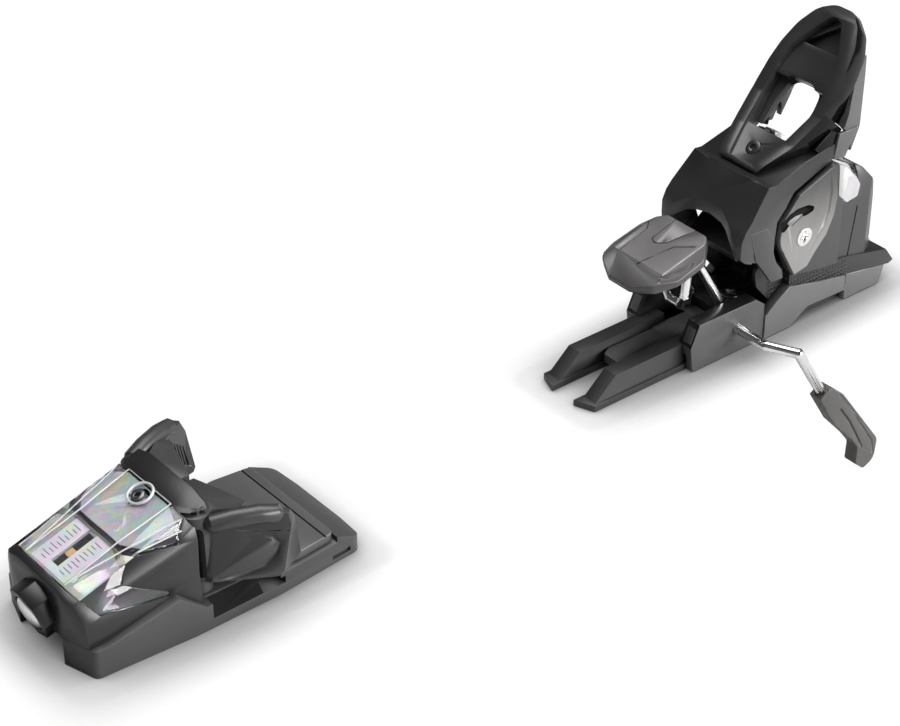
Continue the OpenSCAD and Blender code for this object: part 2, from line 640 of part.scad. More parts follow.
skirt_outline = concat([[sled_front - 0.1, ground_gap], [sled_front - 0.1, 13], [10, 19]],
  reversed(lifted(band_low, -seat_gap)));
skirt_floor = [[-37.5, 6.5], [-12, 7.5], [0, ground_gap]];
module heel_skirts() color([0.27, 0.26, 0.26]) at_heel() both_sides()
  side_slab(concat([for (p = skirt_outline) if (p.x > -38) p], skirt_floor),
    channel_half + seat_gap, carriage_w / 2 + 0.4);
foot_front = -39;
foot_rear = -67;
function band_low_at(x) = lookup(x, band_low) - seat_gap;
module heel_foot() color([0.27, 0.26, 0.26]) at_heel() difference() {
  side_slab([[foot_front, ground_gap], [foot_front, band_low_at(foot_front)],
    [foot_rear, band_low_at(foot_rear)], [foot_rear + 3, ground_gap]],
    -carriage_w / 2 + 0.6, carriage_w / 2 - 0.6);
  block([foot_rear + 4, -channel_half - seat_gap, -1], [0, channel_half + seat_gap, far]);
  along_x(foot_rear - 5, worm_h) cylinder(d = worm_d + 2 * slide_gap, h = far);
  block([-far, -channel_half - seat_gap, channel_h - seat_gap], [0, channel_half + seat_gap, far]);
}

// Brake block: two towers that bear the brake wire, and the tongue between the prongs
block_front = 64;
tower_out = carriage_w / 2 - 0.5;
block_side = [[block_front, ground_gap], [block_front + 2, 13.5], [block_front - 3, tower_h],
  [24, tower_h - 0.4], [block_rear, 20], [block_rear, ground_gap]];
tunnel_from = 41;
tongue_len = 32;
tongue_low = 5.5;
floor_h = 10;
clip_low = [block_front - 4, tower_in + 2, 15.4];
clip_high = [block_front + 6, tower_out - 1.2, 22.4];
module brake_block() color([0.25, 0.24, 0.24]) at_heel() {
  difference() {
    union() {
      both_sides() side_slab(block_side, tower_in, tower_out);
      block([deck_front + 0.3, -tower_in - 1, channel_h], [block_front - 1, tower_in + 1, floor_h]);
    }
    block([0, -channel_half, -1], [far, channel_half, channel_h]);
    both_sides() {
      block([tunnel_from, ridge_in - slide_gap, 0], [far, ridge_out + slide_gap, ridge_h + slide_gap]);
      block(clip_low, clip_high);
    }
    translate([brake_x, 0, brake_h]) bar_y(wire_d / 2 + pin_gap, -far, far);
  }
  plan_slab(rounded(mirrored([[block_front + tongue_len, track_slot_w / 2 - 2.5, 2],
    [block_front + tongue_len - 5, track_slot_w / 2 - slide_gap, 3],
    [tunnel_from, track_slot_w / 2 - slide_gap]], 1)), tongue_low, floor_h);
}
module brake_clips() color([0.2, 0.2, 0.2]) at_heel() both_sides() intersection() {
  side_slab(block_side, tower_in, tower_out);
  block(clip_low + [1, 1, 1] * seat_gap, clip_high - [1, 1, 1] * seat_gap);
}

// Heel housing: two cheeks and a tower that holds the release spring
function band_at(x) = lookup(x, band_high) + seat_gap;
tower_front = -24;
tower_half = 22;
function up(x, z, r = 0) = r > 0 ? [x, pivot_h + z, r] : [x, pivot_h + z];
cheek_side = [[2, band_at(2)], [5, 35], up(15, 2), up(13, 13), up(4, 23), up(-19, 31.5), up(-29, 26),
  [-29, band_at(-29)], [-18, band_at(-18)], [-3, band_at(-3)]];
tower_side = [[tower_front, band_at(tower_front)], up(tower_front, 23), up(-29, 26), up(-48, 17),
  up(-57, 6), up(-60, -3), [-61.5, band_at(-61.5)], [-35, band_at(-35)]];
tower_front_view = mirrored([[tower_half, 10], up(tower_half, 4), up(18.5, 16), up(12, 27), up(0, 28)], 0);
tower_plan = rounded(mirrored([[-20, tower_half + 1], [-51, tower_half, 4], [-62, 15, 3]], 1));
lens_side = [up(-26, 21), up(-26, 28), up(-44, 28), up(-44, 13), up(-37, 3.5), up(-30, 5)];
lens_core_half = 16.5;
lens_core_h = 16;
heel_axis_from = -57;
nut_rear = -53.5;
heel_nut_len = 5;
heel_nut_travel = 3.2;
heel_thread_d = 9;
heel_head_d = 13;
heel_head_len = 3;
plunger_at = -31;
plunger_flange = 4;
plunger_nose_d = 12;
cam_d = 22;
heel_flag_w = 4;
module tower() intersection() {
  side_slab(tower_side, -far, far);
  front_slab(tower_front_view, -70, 0);
  plan_slab(tower_plan, 0, far);
}
module lens_space(gap) difference() {
  side_slab(lens_side, -far, far);
  block([-far, -lens_core_half + gap, 0], [0, lens_core_half - gap, pivot_h + lens_core_h - gap]);
}
module heel_housing() color([0.24, 0.23, 0.23]) at_heel() difference() {
  union() {
    both_sides() side_slab(cheek_side, jaw_w / 2, jaw_w / 2 + cheek_t);
    difference() {
      tower();
      lens_space(seat_gap);
    }
  }
  translate([0, 0, pivot_h]) bar_y(pivot_d / 2 + pin_gap, -far, far);
  along_x(heel_axis_from, heel_spring_h) cylinder(d = heel_chamber_d, h = far);
  along_x(-far, heel_spring_h) cylinder(r = heel_thread_d / 2 + pin_gap, h = far);
  block([nut_rear - heel_nut_travel - slide_gap, -heel_flag_w / 2 - slide_gap, heel_spring_h],
    [nut_rear + heel_nut_len + heel_nut_travel + slide_gap, heel_flag_w / 2 + slide_gap,
     pivot_h + lens_core_h - 4]);
  both_sides() side_slab(lens_side, jaw_w / 2 + 1, far);
}
module heel_window() color([0.8, 0.85, 0.88, 0.4]) at_heel() intersection() {
  tower();
  lens_space(0);
}
leaf = rounded([[4.4, 33.6], up(16.6, 2, 12), up(14.5, 13.5), up(5, 24), up(-18, 32.5),
  up(-24.5, 24, 12), up(-29.5, 8, 20), up(-27, -6, 12), up(-16, -15.5, 16)]);
leaf_slot = rounded([up(12.5, 12, 2), up(0, 17, 2), up(-3, 14.5, 2), up(9, 8, 2)]);
plate_in = jaw_w / 2 + cheek_t + seat_gap;
module cheek_plate() color([0.36, 0.34, 0.33]) at_heel() difference() {
  side_slab(leaf, plate_in, plate_in + plate_t);
  side_slab(leaf_slot, plate_in + plate_t - 1.2, far);
  translate([0, 0, pivot_h]) bar_y(pivot_head_d / 2 + 2 * pin_gap, 0, far);
}
module cheek_plate_left() cheek_plate();
module cheek_plate_right() mirror([0, 1, 0]) cheek_plate();
module heel_pivot_pin() color("gainsboro") at_heel() translate([0, 0, pivot_h]) {
  bar_y(pivot_d / 2, -plate_in, plate_in);
  both_sides() translate([0, plate_in + plate_t + 0.6, 0]) rotate([-90, 0, 0])
    cross_head(pivot_head_d, plate_t + 0.6 - seat_gap);
}
module heel_release_screw() color("gainsboro") at_heel() difference() {
  union() {
    along_x(-60.5 - heel_head_len, heel_spring_h) cylinder(d = heel_head_d, h = heel_head_len - 0.5);
    along_x(-61.5, heel_spring_h) cylinder(d = heel_thread_d, h = 22);
  }
  translate([-61 - heel_head_len, -heel_head_d * 0.36, heel_spring_h - 0.9])
    cube([2, heel_head_d * 0.72, 1.8]);
}
module heel_indicator_nut() color("orangered") at_heel() difference() {
  union() {
    along_x(nut_rear, heel_spring_h) cylinder(r = heel_chamber_d / 2 - slide_gap, h = heel_nut_len);
    block([nut_rear, -heel_flag_w / 2, heel_spring_h],
      [nut_rear + heel_nut_len, heel_flag_w / 2, pivot_h + lens_core_h - 5]);
  }
  along_x(nut_rear - 1, heel_spring_h) cylinder(r = heel_thread_d / 2 + pin_gap, h = heel_nut_len + 2);
}
module heel_spring() color("silver") at_heel()
  along_x(nut_rear + heel_nut_len + slide_gap, heel_spring_h)
    spring("heel spring", heel_chamber_d / 2 - slide_gap - heel_wire_d / 2, heel_wire_d,
      plunger_at - nut_rear - heel_nut_len - 2 * slide_gap, heel_curls);
module heel_plunger() color("gray") at_heel() {
  along_x(plunger_at, heel_spring_h) cylinder(r = heel_chamber_d / 2 - pin_gap, h = plunger_flange);
  along_x(plunger_at, heel_spring_h) cylinder(d = plunger_nose_d, h = -cam_d / 2 - 0.7 - plunger_at);
}

lever_foot = up(20.3, 36.5);
window_from = 20;

// Cup, cam and treadle: the jaw that turns on the pivot pin
cup_half = cup_w / 2;
arm_out = jaw_w / 2 - slide_gap;
arm_in = arm_out - 4;
hood_side = [up(40, 3), up(41, 7), up(37, 16), up(21.4, 33.6), up(16.9, 33), up(-2.4, 38.5), up(-22, 41.5),
  up(-30, 40), up(-20, 34), up(5.5, 26.2), up(16.5, 14.5), up(17.6, 2), up(27, -5.4), up(36, -1)];
// The hood's front is a middle panel and two shoulders that turn away from it
crease_x = 28;
crease_y = 14;
crease_turn = 10;
hood_push = (cup_half - crease_y) * tan(crease_turn);
module hood() intersection() {
  translate([hood_push, 0, 0]) side_slab(hood_side, -far, far);
  for (s = [-1, 1]) translate([crease_x, s * crease_y, 0]) rotate([0, 0, s * crease_turn])
    translate([hood_push - crease_x, -s * crease_y, 0]) side_slab(hood_side, -far, far);
  front_slab(hood_front, -60, 60);
  plan_slab(hood_plan, 0, far);
}
hood_front = mirrored([up(cup_half - 1, -8), up(cup_half, 5), up(cup_half, 20), up(cup_half - 2, 33),
  up(cup_half - 4, 48)], 0);
hood_plan = mirrored([[36.5, 8], [41.5, 21], [41.5, cup_half + 0.5], [-40, cup_half + 0.5]], 1);
// The hood is open behind the lever's window, and hollow below its two shoulders
saddle_half = cup_half - cup_wall - 5;
saddle_depth = 22;
lip_arch = mirrored([up(cup_half - 3, -9), up(cup_half - 5, 4), up(13, 11), up(0, 13.8)], 0);
boot_space = [up(45, -5), up(36.8, 4), up(33, 14), up(17.5, 30), up(9, 32), up(9, 9), up(20, -5)];
arm_link = [up(-9, 4), up(-7, 33), up(12, 31), up(18, 22), up(11, -2)];
module heel_cup() color([0.14, 0.14, 0.14]) at_heel() difference() {
  union() {
    difference() {
      hood();
      side_slab(boot_space, -cup_half + cup_wall, cup_half - cup_wall);
      front_slab(lip_arch, 18, 60);
      translate([heel_back, 0, 0]) at_lever() {
        block([window_from, -saddle_half, -far / 5], [far, saddle_half, 0]);
        block([window_from - 6, -cup_half + cup_wall, -far / 5], [far, cup_half - cup_wall, -saddle_depth]);
      }
    }
    both_sides() {
      translate([0, 0, pivot_h]) bar_y(cam_d / 2, arm_in, arm_out);
      side_slab(arm_link, arm_in, arm_out);
    }
  }
  translate([0, 0, pivot_h]) bar_y(pivot_d / 2 + pin_gap, -far, far);
}
module heel_cam() color("gray") at_heel() translate([0, 0, pivot_h]) difference() {
  bar_y(cam_d / 2, -arm_in + seat_gap, arm_in - seat_gap);
  bar_y(pivot_d / 2 + pin_gap, -far, far);
}
treadle_half = arm_in - 0.7;
module heel_treadle() color([0.12, 0.12, 0.12]) at_heel() difference() {
  side_slab(rounded([up(9, -4), up(24, -9), up(33, -7, 1.5), up(34, -3, 1.5), up(26, 4, 3), up(10, 5)]),
    -treadle_half, treadle_half);
  translate([0, 0, pivot_h]) bar_y(cam_d / 2 + seat_gap, -far, far);
}

// Lever: a dished paddle with a window, written along its own length from its foot
module at_lever() at_heel() translate([lever_foot.x, 0, lever_foot.y]) rotate([0, -lever_lean, 180])
  children();
function lever_half(inset) = let (w = lever_w / 2 - inset, top = lever_len - inset)
  [[-3, w - 12], [0, w - 9.5], [18, w - 3.3, 30], [36, w, 30], [51, w - 0.3, 30], [61, w - 1.4, 30],
   [top - 15.5, w - 4, 20], [top - 6.5, w - 9, 12], [top, max(3, w - 16.5), 8]];
function lever_plan(inset) = rounded(mirrored(lever_half(inset), 1));
// The lever's back line, which the back shell follows
lever_rear = [[lever_len + 1, -13], [80, -16], [70, -17], [55, -17.5], [40, -19]];
lever_side = concat([[-1.5, -2], [0, -1], [4, -1.5], [18, -5.8], [36, -8.5], [50, -7.2], [60, -6.5],
  [lever_len - 4, -6], [lever_len + 1, -8.5]], lever_rear, [[30, -18], [20, -13.5], [8, -8.2], [0, -3.4]]);
// The lever's two side walls, which go down to the hood's shoulders
lever_skirt = [[2, -4], [8, -8.2], [17.1, -14.2], [32.7, -26.7], [38.9, -26.2], [38.9, -17], [20, -9]];
// The dish starts above the screw's pad; a bridge parts the window from the finger pocket
dish_from = 19.5;
dish_depth = 14.5;
pocket_from = 65.5;
bridge_depth = 9.6;
pad_floor = [[1.5, 5], [1.5, -3.2], [dish_from + 1, -8.4], [dish_from + 1, 5]];
window_plan = rounded(mirrored([[window_from, window_w / 2 - 1.5, 3],
  [window_from + 0.6 * window_len, window_w / 2, 20], [window_from + window_len, window_w / 2 - 2, 6]], 1));
lever_screw_at = 9.4;
lever_screw_d = 7.5;
lever_screw_seat = 7.2;
lever_screw_head = 2.4;
module heel_lever() color([0.07, 0.07, 0.07]) at_lever() difference() {
  intersection() {
    plan_slab(lever_plan(0), -30, 5);
    union() {
      side_slab(lever_side, -far, far);
      both_sides() side_slab(lever_skirt, saddle_half, far);
    }
  }
  difference() {
    intersection() {
      plan_slab(lever_plan(lever_wall), -dish_depth, 5);
      block([dish_from, -far, -far], [far, far, far]);
    }
    block([window_from + window_len - 2, -far, -far], [pocket_from, far, -bridge_depth]);
  }
  intersection() {
    plan_slab(lever_plan(lever_wall), -far, 5);
    side_slab(pad_floor, -far, far);
  }
  plan_slab(window_plan, -30, 5);
  translate([lever_screw_at, 0, -lever_screw_seat]) cylinder(r = lever_screw_d / 2 + 4 * pin_gap, h = far);
  translate([lever_screw_at, 0, -30]) cylinder(r = lever_screw_d / 4 + pin_gap, h = far);
}
module lever_screw() color([0.1, 0.1, 0.1]) at_lever() translate([lever_screw_at, 0, 0]) {
  translate([0, 0, lever_screw_head - lever_screw_seat]) difference() {
    translate([0, 0, -lever_screw_head]) cylinder(d = lever_screw_d, h = lever_screw_head);
    translate([0, 0, -1.5]) cylinder(d = lever_screw_d * 0.5, h = 3, $fn = 6);
  }
  translate([0, 0, -lever_screw_seat - 1]) cylinder(d = lever_screw_d / 2, h = 2);
}
back_wall = 3.4;
back_end = 74;
back_start = 39.3;
lever_rear_up = reversed(lever_rear);
function lever_rear_at(along) = lookup(along, lever_rear_up) - 3 * seat_gap;
back_side = [[back_end, lever_rear_at(back_end)], [70, lever_rear_at(70)], [55, lever_rear_at(55)],
  [back_start, lever_rear_at(back_start)], [back_start, -27.5], [back_start - 1.4, -33.5],
  [back_start - 6, -38.5], [45, -35], [57, -28.5], [back_end, -20]];
// The shell is wider than the lever at its lower end
function shell_plan(inset) = mirrored([[back_start - 7, 24.8 - inset], [46, 24 - inset], [57, 21.4 - inset],
  [66, 19 - inset], [back_end + 1, 16.2 - inset]], 1);
module lever_back() color([0.42, 0.41, 0.4]) at_lever() difference() {
  intersection() {
    plan_slab(shell_plan(0), -50, 0);
    side_slab(back_side, -far, far);
  }
  intersection() {
    plan_slab(shell_plan(back_wall), -60, 0);
    block([0, -far, -far], [window_from + window_len + 7, far, far]);
  }
}

// Brake: two bent wires with claws, the pedal hinged on their inner ends, and the yoke
crank_end = [brake_x + crank_len * cos(crank_lean), brake_h + crank_len * sin(crank_lean)];
crank_y = 11.3;
// The crank stands up from its pivot before it leans, so that it clears the track's ridges when it is folded
crank_bend = [1.2, 6];
wire_elbow = [brake_x, brake_w / 2 - 13.8, brake_h];
wire_knee = [brake_x - 7.5, brake_w / 2, brake_h - 0.5];
claw_from = 34;
claw_socket = 18;
// The ball in each bend of a wire stands a hair proud of the wire
bend_swell = 1.05;
module rod(a, b, d) {
  v = b - a;
  translate(a) rotate([0, acos(v.z / norm(v)), atan2(v.y, v.x)]) cylinder(d = d, h = norm(v));
}
module bent_wire(path, d) {
  for (i = [0 : len(path) - 2]) rod(path[i], path[i + 1], d);
  for (i = [1 : len(path) - 2]) translate(path[i]) sphere(d = d * bend_swell);
}
function arm_point(along) = wire_knee - along * [cos(arm_drop), 0, sin(arm_drop)];
module brake_arm() color("gainsboro") at_heel()
  bent_wire([[crank_end.x, 1.2, crank_end.y], [crank_end.x, crank_y, crank_end.y],
    [brake_x - crank_bend.x, crank_y, brake_h + crank_bend.y], [brake_x, crank_y, brake_h],
    wire_elbow, wire_knee, arm_point(claw_from + claw_socket)], wire_d);
module brake_arm_left() brake_arm();
module brake_arm_right() mirror([0, 1, 0]) brake_arm();
claw_outline = rounded([[claw_from, -4], [claw_from, 4.4, 2], [45, 8, 10], [93, 12, 6], [102.4, 4.7, 6],
  [101, -3, 2], [93.4, -5.3, 2], [85, 0.5, 4], [75, -0.5], [56, -4]]);
module brake_claw() color([0.3, 0.27, 0.25]) at_heel() difference() {
  translate(wire_knee) rotate([0, 90 + 90 - arm_drop, 0])
    side_slab([for (p = claw_outline) [p.x, -p.y]], -claw_w / 2, claw_w / 2);
  rod(arm_point(claw_from - 5), arm_point(claw_from + claw_socket + seat_gap), wire_d + 2 * pin_gap);
}
module brake_claw_left() brake_claw();
module brake_claw_right() mirror([0, 1, 0]) brake_claw();
module at_pedal() at_heel() translate([crank_end.x, 0, crank_end.y]) rotate([0, pedal_tilt, 0]) children();
pedal_high = 12;
pedal_rear = -6.5;
carrier_low = wire_d / 2 + 0.4;
carrier_boss_d = 8.6;
boss_half = 4.4;
function pedal_plan(inset) = let (w = pedal_w / 2 - inset, f = pedal_rear + pedal_len - inset)
  rounded(mirrored([[f, 7, 3], [f - 6, w - 5, 6], [f - 17, w, 8], [4, w - 0.5, 6],
    [pedal_rear + inset, 13, 3]], 1));
pedal_front_view = mirrored([[pedal_w / 2 + 1, 0], [pedal_w / 2 + 1, pedal_high - 4],
  [pedal_w / 2 - 6, pedal_high]], 0);
pedal_side = [[-20, 0], [-20, pedal_high], [pedal_len - 20, pedal_high], [pedal_len - 5, pedal_high - 3.5],
  [pedal_len - 5, 0]];
module brake_pedal() color([0.33, 0.3, 0.28]) at_pedal() intersection() {
  plan_slab(pedal_plan(0), pedal_high - pedal_t, pedal_high);
  front_slab(pedal_front_view, -20, 60);
  side_slab(pedal_side, -far, far);
}
module pedal_carrier() color([0.13, 0.12, 0.12]) at_pedal() difference() {
  union() {
    plan_slab(pedal_plan(2.5), carrier_low, pedal_high - pedal_t - seat_gap);
    bar_y(carrier_boss_d / 2, -boss_half, boss_half);
  }
  both_sides()
    bar_y(carrier_boss_d / 2 + slide_gap, yoke_y - yoke_d / 2 - slide_gap, yoke_y + yoke_d / 2 + slide_gap);
  bar_y(wire_d / 2 + pin_gap, -far, far);
}
// The yoke hangs from the wire's inner ends by two eyes, beside the pedal's boss
yoke_d = 3.6;
yoke_y = boss_half + slide_gap + yoke_d / 2;
yoke_len = 26;
yoke_lean = 2;
module brake_yoke() color("gainsboro") at_heel() translate([crank_end.x, 0, crank_end.y]) difference() {
  union() {
    both_sides() bar_y(carrier_boss_d / 2, yoke_y - yoke_d / 2, yoke_y + yoke_d / 2);
    bent_wire([[0, -yoke_y, -wire_d / 2 - 0.6], [yoke_lean, -yoke_y, 5 - yoke_len],
      [yoke_lean, -yoke_y + 3, -yoke_len], [yoke_lean, yoke_y - 3, -yoke_len],
      [yoke_lean, yoke_y, 5 - yoke_len], [0, yoke_y, -wire_d / 2 - 0.6]], yoke_d);
  }
  bar_y(wire_d / 2 + pin_gap, -far, far);
}

toe_base();
toe_housing();
toe_cover();
toe_cover_screw();
toe_scale_plate();
toe_collar();
toe_release_screw();
toe_indicator_nut();
toe_spring();
toe_pull_rod();
toe_wing_pins();
toe_wing_left();
toe_wing_right();
toe_slide_plate();
toe_mount_screws();
heel_track();
heel_mount_screws();
heel_sled();
heel_skirts();
heel_foot();
length_screw();
forward_spring();
forward_spring_plug();
deck_screw();
brake_block();
brake_clips();
heel_housing();
cheek_plate_left();
cheek_plate_right();
heel_window();
heel_pivot_pin();
heel_release_screw();
heel_indicator_nut();
heel_spring();
heel_plunger();
heel_cup();
heel_cam();
heel_treadle();
heel_lever();
lever_back();
lever_screw();
brake_pedal();
pedal_carrier();
brake_arm_left();
brake_arm_right();
brake_claw_left();
brake_claw_right();
brake_yoke();
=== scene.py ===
import json
from math import cos, pi, radians, sin

import bpy
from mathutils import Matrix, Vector

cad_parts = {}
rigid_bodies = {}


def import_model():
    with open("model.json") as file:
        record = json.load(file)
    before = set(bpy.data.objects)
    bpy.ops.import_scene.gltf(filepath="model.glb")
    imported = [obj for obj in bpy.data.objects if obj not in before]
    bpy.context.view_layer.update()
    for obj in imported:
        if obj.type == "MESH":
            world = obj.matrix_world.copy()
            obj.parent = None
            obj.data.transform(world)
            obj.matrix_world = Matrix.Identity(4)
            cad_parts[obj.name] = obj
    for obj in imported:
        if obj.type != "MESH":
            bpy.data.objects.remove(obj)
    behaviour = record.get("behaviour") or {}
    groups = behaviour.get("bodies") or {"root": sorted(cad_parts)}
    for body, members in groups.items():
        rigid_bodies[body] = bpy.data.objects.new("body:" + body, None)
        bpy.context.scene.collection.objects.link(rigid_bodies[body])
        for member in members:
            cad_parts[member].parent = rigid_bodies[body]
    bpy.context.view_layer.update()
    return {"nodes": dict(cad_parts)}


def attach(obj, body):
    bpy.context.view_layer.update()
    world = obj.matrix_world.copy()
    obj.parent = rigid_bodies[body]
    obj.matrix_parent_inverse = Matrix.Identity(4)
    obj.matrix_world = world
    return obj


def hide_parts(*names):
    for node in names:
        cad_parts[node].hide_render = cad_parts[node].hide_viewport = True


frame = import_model()

MM = 0.001
SHARP = 27                # degrees from which an edge is rounded
EDGE_STEPS = 2            # faces across a rounded edge
NARROW = 1.1              # a face is part of a rounded edge up to this many times the edge's radius
SAME_POINT = 0.012        # mm within which a CAD node's loose corners are one
SAME_FLAT = 0.6           # degrees within which a CAD node's triangles are one flat face
ROUND = 40                # degrees up to which round pieces are shaded smooth
ACROSS_SKI = Vector((0, 1, 0))
SIDES = (("left", 1), ("right", -1))
scene = bpy.context.scene
scene.view_settings.view_transform = "Standard"
body_of_node = {name: obj.parent.name.split(":", 1)[1] for name, obj in frame["nodes"].items()}


# Hand tools

def pick(obj):
    """Only this object is selected, and it is the active one."""
    bpy.ops.object.select_all(action="DESELECT")
    obj.select_set(True)
    bpy.context.view_layer.objects.active = obj


def open_mesh(obj, mode="VERT"):
    pick(obj)
    bpy.ops.object.mode_set(mode="EDIT")
    bpy.ops.mesh.select_mode(type=mode)


def close_mesh():
    bpy.ops.object.mode_set(mode="OBJECT")


def press(obj, kind, **values):
    """A modifier that is put on and applied at once."""
    pick(obj)
    tool = obj.modifiers.new(kind.lower(), kind)
    for key, value in values.items():
        setattr(tool, key, value)
    bpy.ops.object.modifier_apply(modifier=tool.name)


def settle(obj):
    """The object's place goes into its mesh."""
    pick(obj)
    bpy.ops.object.transform_apply(location=True, rotation=True, scale=True)


def smooth(obj, angle=30):
    pick(obj)
    bpy.ops.object.shade_smooth_by_angle(angle=radians(angle))


def name_piece(obj, name, body, finish=None):
    """A finished piece gets its name, its finish and the body that it moves with."""
    obj.name = name
    obj.data.name = name
    if finish:
        obj.data.materials.clear()
        obj.data.materials.append(finish)
    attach(obj, body)
    return obj


def mark_edges(obj, edge):
    """Selected narrow faces are rounded edges: their middle is where a painted highlight goes."""
    mesh = obj.data
    rub = mesh.attributes.get("rub") or mesh.attributes.new("rub", "FLOAT", "POINT")
    flat = set()
    for face in mesh.polygons:
        corners = [mesh.vertices[i].co for i in face.vertices]
        around = sum((a - b).length for a, b in zip(corners, corners[1:] + corners[:1]))
        if not face.select or 2 * face.area > NARROW * edge * MM * around:
            flat.update(face.vertices)
    for vertex in mesh.vertices:
        rub.data[vertex.index].value = 0.0 if vertex.index in flat else 1.0


def round_edges(obj, edge):
    """Every sharp edge is rounded to the radius of a moulding."""
    open_mesh(obj, "EDGE")
    bpy.ops.mesh.select_all(action="DESELECT")
    bpy.ops.mesh.edges_select_sharp(sharpness=radians(SHARP))
    bpy.ops.mesh.bevel(offset=edge * MM, segments=EDGE_STEPS, affect="EDGES", clamp_overlap=True,
                       miter_outer="ARC", loop_slide=False)
    bpy.ops.mesh.select_mode(type="FACE")
    close_mesh()
    mark_edges(obj, edge)


def copy_node(node):
    """A copy of a CAD node's own shape, with its loose triangles joined and its flat faces whole."""
    mesh = frame["nodes"][node].data.copy()
    obj = bpy.data.objects.new(node + "_skin", mesh)
    scene.collection.objects.link(obj)
    open_mesh(obj)
    bpy.ops.mesh.select_all(action="SELECT")
    bpy.ops.mesh.remove_doubles(threshold=SAME_POINT * MM)
    bpy.ops.mesh.dissolve_limited(angle_limit=radians(SAME_FLAT), delimit={"NORMAL"})
    close_mesh()
    return obj


def dress(node, finish, edge, cuts=(), swell=0):
    """A node's shape with rounded edges and its grooves, in place of the node."""
    obj = copy_node(node)
    if swell:
        open_mesh(obj)
        bpy.ops.mesh.select_all(action="SELECT")
        bpy.ops.transform.shrink_fatten(value=swell * MM)
        close_mesh()
    if edge:
        round_edges(obj, edge)
    obj.data.materials.clear()
    obj.data.materials.append(finish)
    for points, width, lining in cuts:
        carve(obj, wire(points, width), lining)
    smooth(obj)
    name_piece(obj, node + "_skin", body_of_node[node])
    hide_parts(node)
    return obj


def carve(obj, tool, lining):
    """A shape is cut out of a piece, and the cut takes a finish."""
    tool.data.materials.clear()
    tool.data.materials.append(lining)
    press(obj, "BOOLEAN", operation="DIFFERENCE", object=tool, solver="EXACT", material_mode="TRANSFER")
    bpy.data.objects.remove(tool, do_unlink=True)


def mirrored(points, sign):
    """Points for the left side as they are, or for the right side with a sign of -1."""
    return [(x, sign * y, z) for x, y, z in points]


def wire(points, width, taper=1.0):
    """A round bar along points in mm, as a mesh. Its two ends can be thinner."""
    curve = bpy.data.curves.new("line", "CURVE")
    curve.dimensions = "3D"
    line = curve.splines.new("POLY")
    line.points.add(len(points) - 1)
    for spot, p in zip(line.points, points):
        spot.co = (p[0] * MM, p[1] * MM, p[2] * MM, 1)
    line.points[0].radius = line.points[-1].radius = taper
    curve.bevel_depth = width / 2 * MM
    curve.bevel_resolution = 3
    curve.use_fill_caps = True
    obj = bpy.data.objects.new("line", curve)
    scene.collection.objects.link(obj)
    pick(obj)
    bpy.ops.object.convert(target="MESH")
    return bpy.context.view_layer.objects.active


def split(obj, at, across):
    """New edges where a plane crosses a piece."""
    open_mesh(obj)
    bpy.ops.mesh.select_all(action="SELECT")
    bpy.ops.mesh.bisect(plane_co=[v * MM for v in at], plane_no=across)
    close_mesh()


def paint(obj, finish, chosen):
    """Some of a piece's faces take another finish."""
    obj.data.materials.append(finish)
    slot = len(obj.data.materials) - 1
    for face in obj.data.polygons:
        if chosen(face.center / MM, face.normal):
            face.material_index = slot


def outline_block(outline, low, high):
    """An outline in x and z, drawn out across the ski from one y to another."""
    bpy.ops.object.select_all(action="DESELECT")
    bpy.ops.mesh.primitive_circle_add(vertices=len(outline), radius=0.01, fill_type="NGON",
                                      location=(0, 0, 0))
    obj = bpy.context.view_layer.objects.active
    for vertex, (x, z) in zip(obj.data.vertices, outline):
        vertex.co = (x * MM, low * MM, z * MM)
    open_mesh(obj, "FACE")
    bpy.ops.mesh.select_all(action="SELECT")
    bpy.ops.mesh.extrude_region_move(TRANSFORM_OT_translate={"value": (0, (high - low) * MM, 0)})
    bpy.ops.mesh.select_all(action="SELECT")
    bpy.ops.mesh.normals_make_consistent(inside=False)
    close_mesh()
    return obj


def slab(name, body, outline, walls, finish, edge):
    """A flat piece between two y, with rounded edges."""
    obj = outline_block(outline, *sorted(walls))
    round_edges(obj, edge)
    smooth(obj)
    return name_piece(obj, name, body, finish)


def coil(name, axis, curls, thick, finish):
    """A wound spring in the place of the plain one: a ring of wire carried up along the axis."""
    old = frame["nodes"][name]
    axis = axis.normalized()
    side = axis.cross(ACROSS_SKI).normalized()
    ways = (axis, side, axis.cross(side))
    rows = [[(old.matrix_world @ v.co).dot(way) for v in old.data.vertices] for way in ways]
    low = [min(row) for row in rows]
    high = [max(row) for row in rows]
    radius = (high[1] - low[1] - thick * MM) / 2
    bpy.ops.object.select_all(action="DESELECT")
    bpy.ops.mesh.primitive_circle_add(vertices=14, radius=thick / 2 * MM, rotation=(pi / 2, 0, 0),
                                      location=(radius, 0, thick / 2 * MM))
    obj = bpy.context.view_layer.objects.active
    settle(obj)
    rise = (high[0] - low[0] - thick * MM) / curls
    press(obj, "SCREW", axis="Z", angle=2 * pi, screw_offset=rise, iterations=curls,
          steps=36, render_steps=36)
    open_mesh(obj)
    bpy.ops.mesh.select_all(action="DESELECT")
    bpy.ops.mesh.select_non_manifold()
    bpy.ops.mesh.fill_holes(sides=0)
    bpy.ops.mesh.select_all(action="SELECT")
    bpy.ops.mesh.normals_make_consistent(inside=False)
    close_mesh()
    middle = [(a + b) / 2 for a, b in zip(low, high)]
    obj.location = axis * low[0] + side * middle[1] + ways[2] * middle[2]
    obj.rotation_euler = axis.to_track_quat("Z", "Y").to_euler()
    settle(obj)
    smooth(obj, ROUND)
    name_piece(obj, name + "_coil", body_of_node[name], finish)
    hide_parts(name)
    return obj


